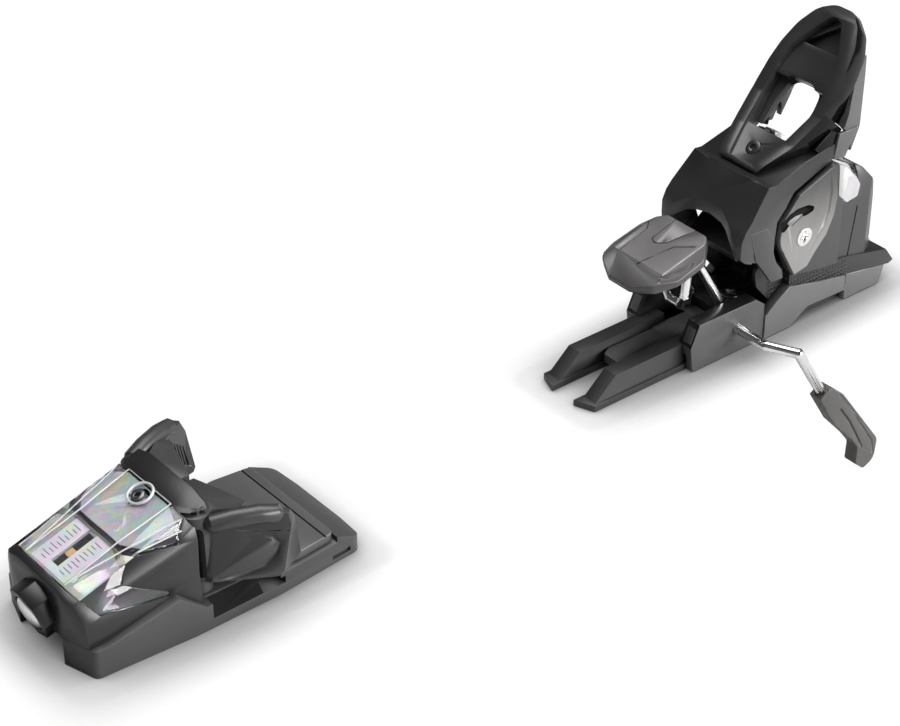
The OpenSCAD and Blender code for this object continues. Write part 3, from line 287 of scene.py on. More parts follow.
def bars(name, body, lines, width, finish, taper=1.0):
    """Round bars along lines, joined into one piece."""
    made = [wire(points, width, taper=taper) for points in lines]
    pick(made[0])
    for one in made[1:]:
        one.select_set(True)
    bpy.ops.object.join()
    obj = bpy.context.view_layer.objects.active
    smooth(obj, ROUND)
    return name_piece(obj, name, body, finish)


# Shared surface effects

def group(name, inputs, outputs):
    tree = bpy.data.node_groups.new(name, "ShaderNodeTree")
    for label, kind, default in inputs:
        socket = tree.interface.new_socket(label, in_out="INPUT", socket_type=kind)
        if default is not None:
            socket.default_value = default
    for label, kind in outputs:
        tree.interface.new_socket(label, in_out="OUTPUT", socket_type=kind)
    return tree, tree.nodes.new("NodeGroupInput"), tree.nodes.new("NodeGroupOutput")


def node(tree, kind, values=None, **settings):
    made = tree.nodes.new(kind)
    for key, value in settings.items():
        setattr(made, key, value)
    for key, value in (values or {}).items():
        made.inputs[key].default_value = value
    return made


def maths(tree, operation, a, b=None, clamp=False):
    made = node(tree, "ShaderNodeMath", operation=operation, use_clamp=clamp)
    for slot, value in ((0, a), (1, b)):
        if value is None:
            continue
        if isinstance(value, (int, float)):
            made.inputs[slot].default_value = value
        else:
            tree.links.new(value, made.inputs[slot])
    return made.outputs[0]


def eased(tree, value, start, stop, first=0.0, last=1.0):
    """A value that goes softly from one to another between a start and a stop."""
    limits = {"From Min": start, "From Max": stop, "To Min": first, "To Max": last}
    ramp = node(tree, "ShaderNodeMapRange", limits, interpolation_type="SMOOTHSTEP")
    tree.links.new(value, ramp.inputs["Value"])
    return ramp.outputs["Result"]


def moulded_grain():
    """Spark-eroded mould texture, and the slow drift in gloss that handling leaves."""
    tree, given, out = group(
        "moulded_grain",
        [("Scale", "NodeSocketFloat", 2600.0), ("Gloss drift", "NodeSocketFloat", 0.12),
         ("Roughness", "NodeSocketFloat", 0.42)],
        [("Height", "NodeSocketFloat"), ("Roughness", "NodeSocketFloat"), ("Shade", "NodeSocketFloat")])
    place = node(tree, "ShaderNodeTexCoord")
    fine = node(tree, "ShaderNodeTexNoise", {"Detail": 3.0, "Roughness": 0.6})
    slow = node(tree, "ShaderNodeTexNoise", {"Scale": 45.0, "Detail": 4.0, "Roughness": 0.62})
    for texture in (fine, slow):
        tree.links.new(place.outputs["Object"], texture.inputs["Vector"])
    tree.links.new(given.outputs["Scale"], fine.inputs["Scale"])
    uneven = maths(tree, "SUBTRACT", slow.outputs["Fac"], 0.5)
    drift = maths(tree, "MULTIPLY", uneven, given.outputs["Gloss drift"])
    spark = maths(tree, "MULTIPLY", maths(tree, "SUBTRACT", fine.outputs["Fac"], 0.5), 0.10)
    rough = maths(tree, "ADD", given.outputs["Roughness"], maths(tree, "ADD", drift, spark), clamp=True)
    tree.links.new(fine.outputs["Fac"], out.inputs["Height"])
    tree.links.new(rough, out.inputs["Roughness"])
    tree.links.new(slow.outputs["Fac"], out.inputs["Shade"])
    return tree


def rubbed_edges():
    """Where rounded edges take a painted highlight, broken up by a noise."""
    tree, given, out = group(
        "rubbed_edges", [("Amount", "NodeSocketFloat", 0.5)], [("Mask", "NodeSocketFloat")])
    place = node(tree, "ShaderNodeTexCoord")
    edge = node(tree, "ShaderNodeAttribute", attribute_name="rub")
    breakup = node(tree, "ShaderNodeTexNoise", {"Scale": 160.0, "Detail": 5.0, "Roughness": 0.7})
    tree.links.new(place.outputs["Object"], breakup.inputs["Vector"])
    broken = node(tree, "ShaderNodeMapRange", {"From Min": 0.36, "From Max": 0.64})
    tree.links.new(breakup.outputs["Fac"], broken.inputs["Value"])
    mask = maths(tree, "MULTIPLY", edge.outputs["Fac"], broken.outputs["Result"])
    tree.links.new(maths(tree, "MULTIPLY", mask, given.outputs["Amount"], clamp=True), out.inputs["Mask"])
    return tree


def drawn_lines():
    """Fine lines along one axis, as on drawn wire or turned metal."""
    tree, given, out = group(
        "drawn_lines",
        [("Along", "NodeSocketVector", (1.0, 30.0, 30.0)), ("Roughness", "NodeSocketFloat", 0.12)],
        [("Height", "NodeSocketFloat"), ("Roughness", "NodeSocketFloat")])
    place = node(tree, "ShaderNodeTexCoord")
    stretch = node(tree, "ShaderNodeVectorMath", operation="MULTIPLY")
    lines = node(tree, "ShaderNodeTexNoise", {"Scale": 90.0, "Detail": 4.0})
    tree.links.new(place.outputs["Object"], stretch.inputs[0])
    tree.links.new(given.outputs["Along"], stretch.inputs[1])
    tree.links.new(stretch.outputs[0], lines.inputs["Vector"])
    spread = maths(tree, "MULTIPLY", maths(tree, "SUBTRACT", lines.outputs["Fac"], 0.5), 0.14)
    tree.links.new(lines.outputs["Fac"], out.inputs["Height"])
    rough = maths(tree, "ADD", given.outputs["Roughness"], spread, clamp=True)
    tree.links.new(rough, out.inputs["Roughness"])
    return tree


def square_grid():
    """Small raised squares in rows, seen from the side."""
    tree, given, out = group(
        "square_grid", [("Pitch", "NodeSocketFloat", 0.0022), ("From x", "NodeSocketFloat", -0.372),
                        ("To x", "NodeSocketFloat", -0.320)],
        [("Height", "NodeSocketFloat"), ("Zone", "NodeSocketFloat")])
    place = node(tree, "ShaderNodeTexCoord")
    axes = node(tree, "ShaderNodeSeparateXYZ")
    tree.links.new(place.outputs["Object"], axes.inputs[0])
    walls = []
    for axis in ("X", "Z"):
        cell = maths(tree, "FRACT", maths(tree, "DIVIDE", axes.outputs[axis], given.outputs["Pitch"]))
        off_middle = maths(tree, "ABSOLUTE", maths(tree, "SUBTRACT", cell, 0.5))
        walls.append(maths(tree, "SUBTRACT", 1.0, eased(tree, off_middle, 0.22, 0.42)))
    past = maths(tree, "GREATER_THAN", axes.outputs["X"], given.outputs["From x"])
    short = maths(tree, "LESS_THAN", axes.outputs["X"], given.outputs["To x"])
    zone = maths(tree, "MULTIPLY", past, short)
    square = maths(tree, "MULTIPLY", walls[0], walls[1])
    tree.links.new(maths(tree, "MULTIPLY", zone, square), out.inputs["Height"])
    tree.links.new(zone, out.inputs["Zone"])
    return tree


GRAIN = moulded_grain()
EDGE_HIGHLIGHT = rubbed_edges()
LINES = drawn_lines()
GRID = square_grid()


# Finishes

def blank(name):
    made = bpy.data.materials.new(name)
    made.use_nodes = True
    tree = made.node_tree
    tree.nodes.clear()
    shader = tree.nodes.new("ShaderNodeBsdfPrincipled")
    end = tree.nodes.new("ShaderNodeOutputMaterial")
    tree.links.new(shader.outputs[0], end.inputs["Surface"])
    return made, tree, shader


def effect(tree, made, **values):
    box = node(tree, "ShaderNodeGroup", node_tree=made)
    for key, value in values.items():
        box.inputs[key.replace("_", " ")].default_value = value
    return box


def tint(tree, shader, low, high, by, edge=None, highlight_colour=None, painted_shade=None):
    """Base colour between two tones, with a third as a painted highlight on rounded edges, and darker where
    painted shade says so.
    """
    mix = node(tree, "ShaderNodeMix", data_type="RGBA")
    mix.inputs["A"].default_value = (*low, 1)
    mix.inputs["B"].default_value = (*high, 1)
    tree.links.new(by, mix.inputs["Factor"])
    last = mix
    if edge is not None:
        last = node(tree, "ShaderNodeMix", data_type="RGBA")
        tree.links.new(mix.outputs["Result"], last.inputs["A"])
        last.inputs["B"].default_value = (*highlight_colour, 1)
        tree.links.new(edge, last.inputs["Factor"])
    if painted_shade is not None:
        shaded = node(tree, "ShaderNodeMix", data_type="RGBA", blend_type="MULTIPLY")
        shaded.inputs["Factor"].default_value = 1.0
        tree.links.new(last.outputs["Result"], shaded.inputs["A"])
        tree.links.new(painted_shade, shaded.inputs["B"])
        last = shaded
    tree.links.new(last.outputs["Result"], shader.inputs["Base Color"])


def bump(tree, shader, height, strength, distance):
    made = node(tree, "ShaderNodeBump", {"Strength": strength, "Distance": distance})
    tree.links.new(height, made.inputs["Height"])
    tree.links.new(made.outputs["Normal"], shader.inputs["Normal"])
    return made


def plastic(name, tone, rough, scale=2600.0, depth=0.00003, drift=0.14, rub=0.7, warm=(1, 1, 1), spread=0.18,
            metal=0.0, shine=0.5, painted_shade_by_height=None):
    """Moulded nylon: a tone and its spark grain, with a painted highlight on its rounded edges. It can darken
    with height as painted shade.
    """
    made, tree, shader = blank(name)
    grain = effect(tree, GRAIN, Scale=scale, Gloss_drift=drift, Roughness=rough)
    glint = effect(tree, EDGE_HIGHLIGHT, Amount=rub)
    low = [tone * (1 - spread) * w for w in warm]
    high = [tone * (1 + spread) * w for w in warm]
    painted_shade = None
    if painted_shade_by_height:
        place = node(tree, "ShaderNodeTexCoord")
        axes = node(tree, "ShaderNodeSeparateXYZ")
        tree.links.new(place.outputs["Object"], axes.inputs[0])
        low_z, high_z, darkest = painted_shade_by_height
        painted_shade = eased(tree, axes.outputs["Z"], low_z * MM, high_z * MM, 1.0, darkest)
    # the lighter third tone on rounded edges is a painted highlight
    tint(tree, shader, low, high, grain.outputs["Shade"], glint.outputs["Mask"],
         [min(1.0, tone * 3 + 0.035) * w for w in warm], painted_shade)
    tree.links.new(grain.outputs["Roughness"], shader.inputs["Roughness"])
    bump(tree, shader, grain.outputs["Height"], 0.35, depth)
    shader.inputs["Metallic"].default_value = metal
    shader.inputs["Specular IOR Level"].default_value = shine
    return made


def metal(name, colour, rough, along=(1.0, 30.0, 30.0)):
    """Bare metal with fine lines from drawing or turning."""
    made, tree, shader = blank(name)
    lines = effect(tree, LINES, Along=along, Roughness=rough)
    grain = effect(tree, GRAIN, Scale=900.0)
    tint(tree, shader, [c * 0.9 for c in colour], colour, grain.outputs["Shade"])
    tree.links.new(lines.outputs["Roughness"], shader.inputs["Roughness"])
    bump(tree, shader, lines.outputs["Height"], 0.25, 0.000006)
    shader.inputs["Metallic"].default_value = 1.0
    return made


def gridded(name, tone, rough):
    """The sled's black nylon, with rows of small squares on the band beside the pivot."""
    made, tree, shader = blank(name)
    grain = effect(tree, GRAIN, Scale=2600.0, Roughness=rough)
    glint = effect(tree, EDGE_HIGHLIGHT, Amount=0.3)
    squares = effect(tree, GRID)
    # the third tone, 0.06, is a painted highlight on rounded edges
    tint(tree, shader, [tone * 0.8] * 3, [tone * 1.2] * 3, grain.outputs["Shade"],
         glint.outputs["Mask"], [0.06] * 3)
    tree.links.new(grain.outputs["Roughness"], shader.inputs["Roughness"])
    fine = bump(tree, shader, grain.outputs["Height"], 0.35, 0.00003)
    coarse = node(tree, "ShaderNodeBump", {"Strength": 1.0, "Distance": 0.0005})
    tree.links.new(squares.outputs["Height"], coarse.inputs["Height"])
    tree.links.new(coarse.outputs["Normal"], fine.inputs["Normal"])
    return made


def clear(name, faint=0.10, through=1.0, tone=1.0, scale=42.0):
    """Clear polycarbonate, with the faint colours of the stress left by moulding."""
    made, tree, shader = blank(name)
    place = node(tree, "ShaderNodeTexCoord")
    flow = node(tree, "ShaderNodeTexNoise", {"Scale": scale, "Detail": 2.0, "Distortion": 1.6})
    tree.links.new(place.outputs["Object"], flow.inputs["Vector"])
    bands = node(tree, "ShaderNodeValToRGB")
    ramp = bands.color_ramp
    ramp.interpolation = "EASE"
    stops = [(0.30, (1, 1, 1)), (0.42, (1, 1 - faint, 1)), (0.48, (1 - faint, 1 - 0.4 * faint, 1)),
             (0.53, (1 - faint, 1, 1 - 0.5 * faint)), (0.58, (1, 1, 1 - 1.3 * faint)),
             (0.63, (1, 1 - 0.8 * faint, 1 - faint)), (0.74, (1, 1, 1))]
    stops = [(at, [tone * c for c in colour]) for at, colour in stops]
    ramp.elements[0].position, ramp.elements[0].color = stops[0][0], (*stops[0][1], 1)
    ramp.elements[1].position, ramp.elements[1].color = stops[-1][0], (*stops[-1][1], 1)
    for at, colour in stops[1:-1]:
        ramp.elements.new(at).color = (*colour, 1)
    tree.links.new(flow.outputs["Fac"], bands.inputs["Fac"])
    tree.links.new(bands.outputs["Color"], shader.inputs["Base Color"])
    grain = effect(tree, GRAIN, Scale=120.0, Roughness=0.05, Gloss_drift=0.05)
    tree.links.new(grain.outputs["Roughness"], shader.inputs["Roughness"])
    bump(tree, shader, flow.outputs["Fac"], 0.12, 0.0004)
    shader.inputs["Transmission Weight"].default_value = through
    shader.inputs["IOR"].default_value = 1.5
    return made


BLACK = plastic("black_nylon", 0.009, 0.34)
SOFT_BLACK = plastic("soft_black_nylon", 0.018, 0.46, scale=1800.0, depth=0.00005)
BASE = plastic("base_nylon", 0.044, 0.44, scale=2000.0, depth=0.00004)
# darker towards its top: painted shade
GRAPHITE = plastic("graphite_shell", 0.040, 0.34, painted_shade_by_height=(58, 94, 0.22), scale=3200.0)
WING = plastic("wing_nylon", 0.040, 0.36, scale=3000.0)
LEVER = plastic("lever_black", 0.027, 0.30, scale=3400.0, depth=0.00002)
SHELL = plastic("back_shell_grey", 0.075, 0.42)
# lighter low down and darker towards its top: painted shade where the curved face turns from the light
CHEEK = plastic("cheek_grey", 0.205, 0.40, painted_shade_by_height=(46, 86, 0.16), warm=(1.0, 0.975, 0.955), scale=3000.0)
PEDAL = plastic("pedal_bronze", 0.130, 0.34, warm=(1.0, 0.955, 0.95), scale=3000.0, rub=0.5, metal=0.2)
# a darker copy of the pedal's bronze for its slopes and sides: painted shade
PEDAL_SHADED = plastic("pedal_edge_bronze", 0.055, 0.36, warm=(1.0, 0.94, 0.93), scale=3000.0, rub=0.5)
CLAW = plastic("claw_brown", 0.070, 0.45, warm=(1.0, 0.95, 0.92), scale=1600.0, depth=0.00006)
SKIRT = plastic("skirt_grey", 0.100, 0.46, warm=(1.0, 0.98, 0.975))
SLIDE = plastic("slide_plate_nylon", 0.075, 0.42, scale=1500.0)
BAND = gridded("band_nylon", 0.016, 0.38)
CHROME = metal("chrome", (0.86, 0.86, 0.85), 0.07)
WIRE = metal("drawn_wire", (0.80, 0.80, 0.79), 0.13, along=(30.0, 1.0, 30.0))
ZINC = metal("zinc_screw", (0.62, 0.61, 0.58), 0.24)
STEEL = metal("dark_steel", (0.20, 0.20, 0.20), 0.30)
BRASS = metal("brass_nut", (0.72, 0.52, 0.24), 0.25)
CLEAR = clear("clear_cover")
LENS = clear("clear_lens", 0.04)
LABEL = plastic("label_white", 0.72, 0.45, rub=0.0, spread=0.02)
INK = plastic("label_ink", 0.03, 0.5, rub=0.0)
TOWER = plastic("tower_grey", 0.034, 0.42)
# a lighter copy of the brake block's black for its tongue and outward flanks; on the flanks it is painted
# light, with the top left darker
FLANK_LIT = plastic("block_flank", 0.060, 0.44)
HOUSE = plastic("toe_housing_nylon", 0.016, 0.34)
# clear with a large white share: a painted highlight on the cover's thick edges
EDGE = clear("clear_edge", 0.06, through=0.45)
# pale, with faint colour bands, for the housing under the clear cover: painted light that shows through the
# cover
LIT_BED = clear("cover_bed", 0.20, through=0.0, tone=0.46, scale=75.0)
LENS_BLOCK = clear("lens_block", 0.05, through=0.60, tone=0.90)
# near black with little shine, put where shade falls: painted shade
SHADE_BLACK = plastic("gap_black", 0.004, 0.6, rub=0.0, shine=0.08)
# a darker, glossier black; on the lever's flanks it is painted shade
GLOSS = plastic("lever_gloss", 0.004, 0.13, depth=0.000008, drift=0.05, rub=0.9, shine=0.15)


# Nodes that take a finish as they are

INNER_PIECES = (
    (STEEL, ("toe_wing_pins", "toe_mount_screws", "heel_mount_screws", "heel_plunger", "heel_cam",
             "toe_pull_rod", "forward_spring_plug")),
    (BRASS, ("toe_indicator_nut", "heel_indicator_nut")),
    (ZINC, ("heel_release_screw", "length_screw")))
for finish, names in INNER_PIECES:
    for name in names:
        slots = frame["nodes"][name].data.materials
        slots.clear()
        slots.append(finish)


# Pieces in one finish, each with the radius of its edges in mm

PLAIN_PIECES = (
    ("toe_cover", CLEAR, 0.3), ("toe_cover_screw", STEEL, 0.15),
    ("toe_scale_plate", LABEL, 0.15), ("toe_collar", BLACK, 0.4), ("toe_release_screw", CHROME, 0.25),
    ("heel_track", SOFT_BLACK, 0.45), ("heel_sled", BAND, 0.4), ("heel_skirts", SKIRT, 0.35),
    ("heel_foot", SKIRT, 0.5), ("deck_screw", ZINC, 0.15), ("brake_clips", SKIRT, 0.1),
    ("heel_window", LENS, 0.4), ("heel_pivot_pin", CHROME, 0.2), ("heel_cup", GRAPHITE, 0.5),
    ("heel_treadle", BLACK, 0.4), ("lever_screw", STEEL, 0.15), ("pedal_carrier", BLACK, 0.3),
    ("brake_arm_left", WIRE, 0), ("brake_arm_right", WIRE, 0))
for name, finish, edge in PLAIN_PIECES:
    dress(name, finish, edge)


# Pieces in two finishes

BASE_SHOULDER_Y = 27                            # the base's slopes lie outside this
LEVER_FLANK_Y = 9                               # the lever's flanks lie outside this
SHELL_LINE = Vector((-355.8, 0, 96.1))          # a point on the shell's slanted line
SHELL_FRONT = Vector((0.918, 0, 0.397))         # the way from that line to the black front
COVER_X = (17, 70)                              # from where to where the clear cover lies
COVER_LOW_Z = 33
BLOCK_TONGUE_X = -268                           # the brake block's tongue lies in front of this
BLOCK_WALL_Y = 14                               # and its flanks lie outside this


def faces_out(at, out, least):
    """True of a face that looks away from the ski's middle line."""
    return out.y * at.y > 0 and abs(out.y) > least


def slope_under_wing(at, out):
    return abs(at.y) > BASE_SHOULDER_Y and 0.5 < abs(out.y) < 0.85 and out.z > 0.5


def lever_flank(at, out):
    return abs(at.y) > LEVER_FLANK_Y and faces_out(at, out, 0.5)


def shell_front(at, out):
    return (at - SHELL_LINE).dot(SHELL_FRONT) > 0


def under_cover(at, out):
    return COVER_X[0] < at.x < COVER_X[1] and at.z > COVER_LOW_Z and out.z > 0.6 and out.x > 0.15


def tongue_or_flank(at, out):
    return at.x > BLOCK_TONGUE_X or (abs(at.y) > BLOCK_WALL_Y and faces_out(at, out, 0.3))


def pedal_slope(at, out):
    return out.z < 0.86 or out.x > 0.35


# the base's slopes under the wings take near black: painted shadow of the wings
paint(dress("toe_base", BASE, 0.45), SHADE_BLACK, slope_under_wing)
# the lever's outward flanks take a darker, glossier black: painted shade on its sides
paint(dress("heel_lever", LEVER, 0.5), GLOSS, lever_flank)
shell = dress("lever_back", SHELL, 0.5)
split(shell, SHELL_LINE, SHELL_FRONT)
paint(shell, GLOSS, shell_front)
# the housing's faces under the clear cover are painted pale: painted light
paint(dress("toe_housing", HOUSE, 0.4), LIT_BED, under_cover)
# the block's outward flanks are lighter than its top: painted light
paint(dress("brake_block", BLACK, 0.4), FLANK_LIT, tongue_or_flank)


# The springs, wound from round wire

ALONG_SKI = Vector((1, 0, 0))
RELEASE_AXIS = Vector((0.956, 0, -0.292))       # the toe's release screw, from inside to its head
coil("toe_spring", -RELEASE_AXIS, 6, 2.2, ZINC)
coil("heel_spring", ALONG_SKI, 4, 2.6, ZINC)
coil("forward_spring", ALONG_SKI, 7, 1.6, ZINC)


# The pedal with its panel lines, whose dark lining and darker slopes are painted shade, and the yoke that
# carries it

PEDAL_LINES = (
    (0.9, ((-276, -18.9, 63.9), (-269.6, -13.7, 62.3), (-260.3, -13.1, 60.1), (-251.2, -12.7, 57.7),
           (-245.5, -9.6, 54.8), (-238, -6, 51))),
    (0.9, ((-286, -8.6, 66.4), (-281.4, -7.3, 65.2), (-266.2, -6.5, 61.5), (-264.6, -3.5, 61.1),
           (-265.4, -1.6, 61.3), (-267.7, 1.4, 61.9), (-276.9, 4.4, 64.1), (-285.5, 7.8, 66.3))),
    (0.9, ((-249.5, 1, 56.9), (-259.9, 3.8, 60), (-268, 6.5, 61.9), (-273, 13.2, 63.1),
           (-280, 20.8, 62.6))),
    (0.8, ((-249, 16.6, 56.8), (-251.9, 18.6, 56.9), (-264.1, 21.2, 58.3), (-267.5, 20, 59.8))))
YOKE_SWELL = 0.5                                # mm that the yoke's wire is thicker all round
# the panel lines are lined in soft black: painted shade in the grooves
pedal = dress("brake_pedal", PEDAL, 0.45, cuts=[(line, width, SOFT_BLACK) for width, line in PEDAL_LINES])
# the slopes and sides take the darker bronze: painted shade
paint(pedal, PEDAL_SHADED, pedal_slope)
dress("brake_yoke", CHROME, 0, swell=YOKE_SWELL)


# The wings: a scoop and a crease outside, ribs inside the right one, and a rounded crown along the top

WING_SCOOP = ((-6, 37.3, 38.4), (-9.9, 39.5, 37.4), (-13.1, 41.8, 36.6), (-15.2, 43.3, 33.4),
              (-13.4, 43.2, 29.1), (-7.9, 41.2, 23.8), (-1.5, 38.1, 21), (7, 33.2, 19))
WING_CREASE = ((2.4, 27, 44.4), (2.9, 28.4, 42.8), (-2.9, 33.2, 39.9), (-10, 37.9, 39.4), (-20, 44, 38.6))
WING_CROWN = ((10, 28, 45.4), (8, 29, 46), (0, 32.5, 47.2), (-10, 36.5, 47.2), (-17, 39.2, 45.6),
              (-19, 40, 44.8))
RIBS = 5


def wing_cuts(sign):
    return [(mirrored(WING_SCOOP, sign), 2.8, WING), (mirrored(WING_CREASE, sign), 0.7, WING)]


# the ribs are grooves lined in black: painted shade in the grooves
def rib(k):
    top = (-13.5 - 2.1 * k, -32.4 - 1.15 * k, 43 - 2 * k)
    foot = (-17 - 1.9 * k, -34.4 - 0.95 * k, 29 - 1.5 * k)
    return [top, foot], 1.1, BLACK


dress("toe_wing_left", WING, 0.5, cuts=wing_cuts(1))
dress("toe_wing_right", WING, 0.5, cuts=wing_cuts(-1) + [rib(k) for k in range(RIBS)])
for side, sign in SIDES:
    bars("wing_crown_" + side, "wing_" + side, [mirrored(WING_CROWN, sign)], 8.4, WING, taper=0.55)


# The slide plate and its seam

SLIDE_SEAM = ((-46.8, -34, 14.5), (-46.8, 34, 14.5))
# the seam is lined in black: painted shade in the groove
dress("toe_slide_plate", SLIDE, 0.4, cuts=[(SLIDE_SEAM, 0.9, BLACK)])


# The claws with a ridge and a groove, the cheek plates and what stands beside them

CLAW_RIDGE = ((-332, 60.4, -20), (-341, 60.4, -31), (-350, 60.4, -45), (-359.5, 60.4, -59),
              (-361.5, 60.4, -68))
CLAW_GROOVE = ((-334, 60.3, -29), (-341.6, 60.3, -39.5), (-347, 60.3, -49), (-352.8, 60.3, -60))
CHEEK_BOW = ((-347.6, 28.6, 80), (-349.4, 28.5, 72), (-348.6, 28.4, 62), (-345.6, 28.4, 54),
             (-341.3, 28.4, 48.2), (-336, 28.5, 44.2))
CHEEK_SLOT = ((-318.0, 28.2, 60.8), (-319, 28.2, 63.6), (-322.5, 28.2, 66.4), (-327, 28.2, 67.6),
              (-334, 28.2, 67.2), (-338.2, 28.2, 66.5))

# Outlines in x and z
CHEEK_REAR = ((-346, 92), (-347.6, 89.5), (-352.2, 79.9), (-354.3, 68.3), (-352.8, 57.9), (-348.4, 48.5),
              (-341.7, 41.5), (-335, 33), (-380, 33), (-380, 92))
LENS_SIDE = ((-356.6, 82.8), (-362.5, 79.1), (-369.6, 71.7), (-373.1, 66.1), (-371.8, 60), (-364.4, 58.8),
             (-358.1, 64.9))
SHELL_TAIL = ((-354.5, 99.5), (-367.4, 99.4), (-359.7, 85.5), (-352.1, 86.5))
HOOD_FLANK = ((-339.8, 95.4), (-350.5, 101.9), (-358.3, 98.1), (-355.2, 84.8), (-345.2, 89.9))
HOOD_LIP = ((-296.8, 67), (-307.2, 67.4), (-313.3, 58.5), (-313.3, 51.5), (-315.7, 45), (-320, 39.7),
            (-321, 34.4), (-313, 35.2), (-301.5, 51.1))

# Slabs on both sides: name, body, outline, inner and outer y, finish, radius of the edges
SIDE_SLABS = (
    ("window_lens_", "carriage", LENS_SIDE, 18, 25, LENS_BLOCK, 0.8),
    ("shell_tail_", "heel_jaw", SHELL_TAIL, 23, 25, SHELL, 0.5),
    ("hood_flank_", "heel_jaw", HOOD_FLANK, 21.5, 23.6, GLOSS, 0.4),
    ("hood_lip_", "heel_jaw", HOOD_LIP, 24.8, 27.4, GRAPHITE, 0.7))


def cheek_plate(side, sign):
    """A plate with a hollow along its bow, cut off behind it, and a slot lined near black as painted shade.
    """
    obj = dress("cheek_plate_" + side, CHEEK, 0.4, cuts=[(mirrored(CHEEK_BOW, sign), 3.0, CHEEK)])
    carve(obj, outline_block(CHEEK_REAR, sign * 20, sign * 34), CHEEK)
    # the slot's inside is painted shade
    carve(obj, wire(mirrored(CHEEK_SLOT, sign), 5.6, taper=0.45), SHADE_BLACK)
    smooth(obj)


# each claw's groove is lined in black: painted shade in the groove
for side, sign in SIDES:
    dress("brake_claw_" + side, CLAW, 0.5, cuts=[
        (mirrored(CLAW_RIDGE, sign), 1.8, CLAW), (mirrored(CLAW_GROOVE, sign), 1.4, BLACK)])
    cheek_plate(side, sign)
    for name, body, outline, inner, outer, finish, edge in SIDE_SLABS:
        slab(name + side, body, outline, (sign * inner, sign * outer), finish, edge)


# The heel housing and its tower's panel lines

TOWER_LINE = ((-375.5, 22, 52), (-372.8, 22, 33.7), (-371.5, 22, 24))
# the tower's panel lines are lined in black: painted shade in the grooves
dress("heel_housing", TOWER, 0.4, cuts=[(mirrored(TOWER_LINE, sign), 1.0, BLACK) for side, sign in SIDES])


# The release screw's chrome dome

DOME_RADIUS = 7.9
DOME_RISE = 2.6
DOME_PLACE = Vector((77.98, 0, 18))
bpy.ops.object.select_all(action="DESELECT")
bpy.ops.mesh.primitive_uv_sphere_add(segments=48, ring_count=24, radius=1)
dome = bpy.context.view_layer.objects.active
open_mesh(dome)
bpy.ops.mesh.select_all(action="SELECT")
bpy.ops.mesh.bisect(plane_co=(0, 0, 0), plane_no=(0, 0, 1), use_fill=True, clear_inner=True)
close_mesh()
dome.scale = (DOME_RADIUS * MM, DOME_RADIUS * MM, DOME_RISE * MM)
dome.rotation_euler = RELEASE_AXIS.to_track_quat("Z", "Y").to_euler()
dome.location = DOME_PLACE * MM
settle(dome)
smooth(dome, ROUND)
name_piece(dome, "release_dome", "toe_release", CHROME)


# The clear cover's thick edges and ribs and the ring round its screw, in a whitish clear finish that is a
# painted highlight

COVER_SLOPE = Vector((0.951, 0, -0.309))        # down the cover, from the screw to the front
COVER_RIM = [(17.9, 15.4, 53), (32.6, 14.8, 48.5), (41.9, 14.2, 45.5), (69, 14.6, 36.6)]
COVER_RIB = [(18.8, 23.8, 50.4), (23.2, 22.4, 49.5), (55.7, 16.6, 40.6), (68, 14.6, 37)]
COVER_HEM = [(20.5, 26.2, 47), (29.9, 25, 45.7), (40, 23.4, 43.8)]
RING_MIDDLE = Vector((22.7, 0, 51.7))
RING_RADIUS = 5.6
RING_STEPS = 32
rim = COVER_RIM + mirrored(reversed(COVER_RIM), -1) + COVER_RIM[:1]
bars("cover_edges", "toe_and_track",
     [rim, COVER_RIB, mirrored(COVER_RIB, -1), COVER_HEM, mirrored(COVER_HEM, -1)], 0.7, EDGE)
turns = [2 * pi * k / RING_STEPS for k in range(RING_STEPS + 1)]
ring = [RING_MIDDLE + RING_RADIUS * (cos(turn) * COVER_SLOPE + sin(turn) * ACROSS_SKI) for turn in turns]
bars("cover_ring", "toe_and_track", [ring], 1.3, EDGE)


# The scale's ticks

TICKS = 10
TICK_PITCH = 2
TICK_START = Vector((48.2, 0, 41.02))
TICK_INNER_Y = 5.2
TICK_OUTER_Y = (10.4, 8.6)                      # long and short ticks in turn
ticks = []
for k in range(TICKS):
    at = TICK_START + COVER_SLOPE * (TICK_PITCH * k)
    reach = TICK_OUTER_Y[k % 2]
    for side, sign in SIDES:
        ticks.append([(at.x, sign * TICK_INNER_Y, at.z), (at.x, sign * reach, at.z)])
bars("scale_ticks", "toe_and_track", ticks, 0.34, INK)


# A near-black bar in the gap between the housing and each wing, as painted shade, and the ridge in the
# lever's finger pocket

WING_JOINT = ((13, 20, 47.2), (13.6, 28.4, 42.6), (13.8, 29.2, 33), (13.9, 29.4, 23))
POCKET_RIDGE = ((-369.9, -12.5, 130.6), (-374, -6, 135.6), (-378.4, 1, 140.6))
bars("wing_joints", "toe_and_track", [mirrored(WING_JOINT, sign) for side, sign in SIDES], 3.6, SHADE_BLACK)
bars("pocket_ridge", "heel_jaw", [POCKET_RIDGE], 4.2, LEVER)


# Stage: a pale floor below the claws, and a soft-edged sheet under the two units with a painted shadow,
# darker where the units close over it

PAPER = (0.62, 0.62, 0.62, 1)
WHITE = (1, 1, 1, 1)
FLOOR_LEVEL = 1.03                              # how bright the camera sees the floor
FLOOR_SHADOW = 0.15                             # the share of it that the lamps light and shade
LAMP_LEVEL = 0.50                               # how bright the lamps leave the paper
# the sheet's painted shadow: how far it reaches and how it deepens
SHADE_REACH = 0.11                              # m over which the units darken the sheet
SHADE_POWER = 1.6
SHEET_LEVEL = 0.98
SHEET_SOLID = (0.007, 0.013)                    # m from the units over which the sheet turns see-through
SHEET_FADE = (0.008, 0.034)                     # m over which it ends
FOOTPRINTS = (((4, 0), (70, 36)), ((-306, 0), (98, 20)))      # middle and half size of each unit


